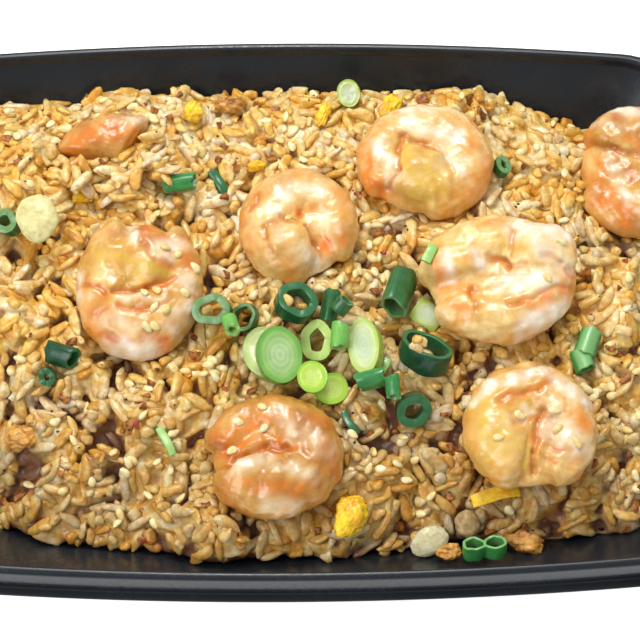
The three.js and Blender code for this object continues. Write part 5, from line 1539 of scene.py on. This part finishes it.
# %% Colours of the rice
def rice_material(name, tones_of_grains, lift):
    material, tree, shader = new_material(
        name, IOR=1.4, Subsurface_Weight=0.5, Coat_Weight=0.4, Coat_Roughness=0.14,
        Subsurface_Radius=(2.0 * MM, 1.7 * MM, 1.0 * MM),
    )
    tones = add_node(tree, "ShaderNodeValToRGB", {"Fac": attribute(tree, "tone")})
    ramp = tones.color_ramp
    stops = list(zip((0.0, 0.3, 0.65, 0.9, 1.0), tones_of_grains))
    ramp.elements[0].color, ramp.elements[1].color = linear(stops[0][1]), linear(stops[-1][1])
    for place, hex_colour in stops[1:-1]:
        ramp.elements.new(place).color = linear(hex_colour)
    grain = tones.outputs["Color"]
    # Three drifting mottles: stains at the two larger sizes, and at the finest size a speckle that
    # is partly grain texture and partly painted sparkle.
    for scale, stain_and_sparkle, share in (
        (80.0, "fce6a0", 0.8), (300.0, "f0cc92", 0.7), (700.0, "dccaaa", 0.6)
    ):
        drift = mottled(tree, "ffffff", stain_and_sparkle, scale, 0.08)["Colour"]
        grain = mix_colour(tree, share, grain, drift, "MULTIPLY")
    # Painted shade: the rice darkens towards the front of the tray, where less light reaches it.
    frontward = add_node(tree, "ShaderNodeSeparateXYZ", {"Vector": object_place(tree)}).outputs["Y"]
    front_shade = ranged(tree, frontward, -10 * MM, -50 * MM, 0.0, 0.8)
    grain = mix_colour(tree, front_shade, grain, linear("dacebc"), "MULTIPLY")
    # Painted shade: points deep in the gaps between clumps are darkened towards purple-brown.
    deep = ranged(tree, attribute(tree, "gap_shade"), 0.32, 0.72, 0.0, 0.88)
    tree.links.new(mix_colour(tree, deep, grain, linear("744638")), shader.inputs["Base Color"])
    use_moisture(tree, shader, 1100.0, 0.2, 0.55 - lift, 0.26)
    return material


# Tones of the clumps and of the loose grains, from the palest to the most fried.
SOAKED = ("f2ead2", "f8eec0", "f8e29a", "f2d070", "e0b254")
DRAINED = ("f0e8d0", "f6ecc2", "f6e29e", "f0d076", "e0b458")
clump_finish = rice_material("sticky rice", SOAKED, 0.0)
loose_finish = rice_material("loose rice", DRAINED, 0.04)
print("rice finishes:", clump_finish.name, "and", loose_finish.name)

# %% [markdown]
# The top layer stays loose: thousands of whole grains lie on the clumps. The clumps are drawn up a
# little once more after that, so that each grain sits in its starch and none hovers.

# %% Loose grains on the clumps
loose = drop_grains(
    ground, heap_target, ceiling, grain_sizes(36000, np.random.default_rng(9)), 10,
    allowance=1.3, steepest=1.0,
)
print(len(loose), "loose grains")
lift_top(core, blur(ground, inside_heap, 0.9) - 0.5 - 2.2 * gaps)
points = read_points(core.data) / MM
paint(core.data, "tone", grain_tones(points, grains + loose))
# How deep each point lies below the clumps, for the painted shade in the gaps.
paint(core.data, "gap_shade", depth_below_clumps(points))
finish_piece(core, "sticky_rice", "cooked_rice", clump_finish, "rice")


def finish_grains(name, rows, seed, depth):
    piece = join_copies(name, GRAIN_SHAPES, rows, seed, GRAIN_UNEVENNESS)
    # The loose grains take painted shade from how deep they lie below the clumps.
    paint(piece.data, "gap_shade", depth(read_points(piece.data) / MM))
    shade_smooth(piece)
    finish_piece(piece, name, "cooked_rice", loose_finish)


for name, low, high in (("pale", 0, 30), ("golden", 30, 75), ("browned", 75, 100)):
    rows = [row for row in loose if low <= row[-1] < high]
    finish_grains(f"loose_grains_{name}", rows, low, depth_below_clumps)

# %% [markdown]
# A few grains cling to the food itself, where it is half buried, and some have fallen into the
# open scallion pieces. They drop onto a map that has the food's height as well as the rice's.

# %% Grains that cling where the rice meets the food
everything = np.maximum(ground, food_top)
open_sky = np.full_like(everything, 200.0)  # far above the food, so nothing is in the way
ANY_HEIGHT = 300  # lets a grain lie as high as it comes to rest
LOWEST_FOOD = 20  # nothing that lies on the rice is lower than this


def discs(places, over=2.0):
    """A target only inside discs of x, y and radius, a little over what lies there."""
    gx, gy = np.meshgrid(XS, YS, indexing="ij")
    target = np.full_like(everything, EMPTY)
    for x, y, radius in places:
        inside = (np.hypot(gx - x, gy - y) < radius) & (everything > LOWEST_FOOD)
        target[inside] = everything[inside] + over
    return target


def drop_on_food(spots, sizes, seed, steepest, tries=1):
    return drop_grains(everything, spots, open_sky, sizes, seed, ANY_HEIGHT, steepest, tries)


def short_sizes(count, rng):
    for _ in range(count):
        yield rng.uniform(2.6, 4.0), rng.uniform(2.0, 2.8), 1.6, int(rng.integers(0, 100))


# Spots around the buried shrimp: x, y and radius.
CLINGING = [(-52.5, 34.5, 5.0), (-43.0, 31.0, 5.0), (-34.0, 34.0, 4.5), (-33.0, 41.0, 3.5)]
HOLE_RADIUS = 2.2
sizes = grain_sizes(90, np.random.default_rng(11))
clinging = drop_on_food(discs(CLINGING), sizes, 12, 0.8, tries=3)
for i, node in enumerate(("scallion_tube_open", "scallion_curl_dark")):
    low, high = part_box(node)
    hole = discs([(*((low + high) / 2 / MM)[:2], HOLE_RADIUS)])
    sizes = short_sizes(9, np.random.default_rng(70 + i))
    clinging += drop_on_food(hole, sizes, 72 + i, 0.8, tries=3)
finish_grains("clinging_grains", clinging, 13, lambda points: np.zeros(len(points)))
print(len(clinging), "clinging grains")

# %% [markdown]
# Toasted sesame is sprinkled over everything at the end. A seed is a flat drop, pointed at one end.
# On the shrimp they stand out most, so each of those has its own place.

# %% Sesame seeds
# Where the seeds on each shrimp lie, in mm from its middle, and clusters of x, y and radius.
SEEDS_ON_SHRIMP = {
    "left": [(14, 11), (10, 6.4), (6.7, 6.7), (14.1, 2.6), (11.7, -4.8), (7, -9.6), (4.8, -9.6),
        (2.2, -15.2), (4.4, -14.9), (1.9, -5.3), (4.9, -5)],
    "back_left": [(-2.1, -0.1), (10.5, -14.3)],
    "right": [(20.8, 2.4), (11.7, -3.5), (16.4, 6.5)],
    "front_right": [(-9, -5.5), (10.6, -5.6), (6.3, -2.4), (5, 2), (-2.9, 0.6)],
    "front": [(-2.6, 10.6), (-8.5, 7.4), (-2.1, 5.2), (-9.7, 0.4)],
}
SEED_CLUSTERS = [(-19, -21, 4.0), (78.6, -28, 4.5), (22, 7, 5.0), (-8, 3, 4.0)]
seed_shape = make_grain(8, 6, 0.0, -0.1, 0.1)
seed_shape[0][:, 1:] *= (1.12 - 0.5 * seed_shape[0][:, 0])[:, None]


def seed_sizes(count, rng):
    for _ in range(count):
        yield rng.uniform(2.8, 3.5), rng.uniform(1.6, 2.1), 1.1, int(rng.integers(0, 100))


rng = np.random.default_rng(21)
seeds = []
for name, places in SEEDS_ON_SHRIMP.items():
    middle = SHRIMP[name]["middle"]
    for dx, dy in places:
        spot = discs([(middle[0] + dx, middle[1] + dy, 0.6)])
        seeds += drop_on_food(spot, seed_sizes(1, rng), len(seeds), 2.0)
seeds += drop_on_food(discs(SEED_CLUSTERS), seed_sizes(30, rng), 24, 1.2)
sprinkled = np.where(inside_heap & (food_top < LOWEST_FOOD), everything + 2.0, EMPTY)
seeds += drop_grains(everything, sprinkled, open_sky, seed_sizes(190, rng), 22, 3.0, 0.7, tries=1)

sesame, tree, shader = new_material(
    "toasted sesame", IOR=1.45, Subsurface_Weight=0.2,
    Subsurface_Radius=(0.6 * MM, 0.4 * MM, 0.2 * MM),
)
hull = mix_colour(tree, attribute(tree, "tone"), linear("fdf4c8"), linear("f2dc98"))
husk = mottled(tree, "ffffff", "ecd6a2", 900.0, 0.12)["Colour"]
tree.links.new(mix_colour(tree, 0.7, hull, husk, "MULTIPLY"), shader.inputs["Base Color"])
use_moisture(tree, shader, 1800.0, 0.05, 0.5, 0.3)
piece = join_copies("sesame_seeds", [seed_shape], seeds, seed=30)
shade_smooth(piece)
finish_piece(piece, "sesame_seeds", "cooked_rice", sesame)
print(len(seeds), "sesame seeds")

# %% [markdown]
# Fried onion, red pepper and pepper dust are finer than a grain. Each is an uneven crumb pressed
# into the rice, and each kind is one mesh with its own finish.

# %% Onion crumbs, red bits and pepper specks
def crumb_sizes(count, smallest, largest, rng):
    for _ in range(count):
        length = rng.uniform(smallest, largest)
        yield length, length * rng.uniform(0.5, 0.9), length * 0.4, int(rng.integers(0, 100))


# Name, how many, the smallest and largest in mm, and the two colours of each kind.
CRUMBS = [
    ("onion_crumbs", 150, 1.4, 3.6, "b4702c", "6e3812"),
    ("red_bits", 14, 0.8, 2.0, "b8502c", "84301a"),
    ("pepper_specks", 220, 0.4, 0.9, "5a3c22", "2a1a10"),
]
crumb_shape = make_grain(6, 5, 0.0, 0.8, 0.2)
for seed, (name, count, smallest, largest, light, dark) in enumerate(CRUMBS):
    sizes = crumb_sizes(count, smallest, largest, np.random.default_rng(60 + seed))
    rows = drop_grains(everything, sprinkled, open_sky, sizes, 50 + seed, 3.0, 1.0, tries=1)
    piece = join_copies(name, [crumb_shape], rows, seed=seed, uneven=0.5)
    crumb, tree, shader = new_material(f"{name} finish", IOR=1.45)
    crust = mottled(tree, light, dark, 700.0, 0.1)["Colour"]
    tree.links.new(crust, shader.inputs["Base Color"])
    use_moisture(tree, shader, 1500.0, 0.1, 0.6, 0.3)
    finish_piece(piece, name, "cooked_rice", crumb)
    print(len(rows), name)

# %% [markdown]
# Last, the dressed meal is measured, and its box is set beside the model's box.

# %% Measure the dressed meal
low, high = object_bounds()
{"cad": [list(cad_low), list(cad_high)], "visual": [list(low), list(high)]}
print("visual model is", [round((b - a) / MM, 1) for a, b in zip(low, high)], "mm")
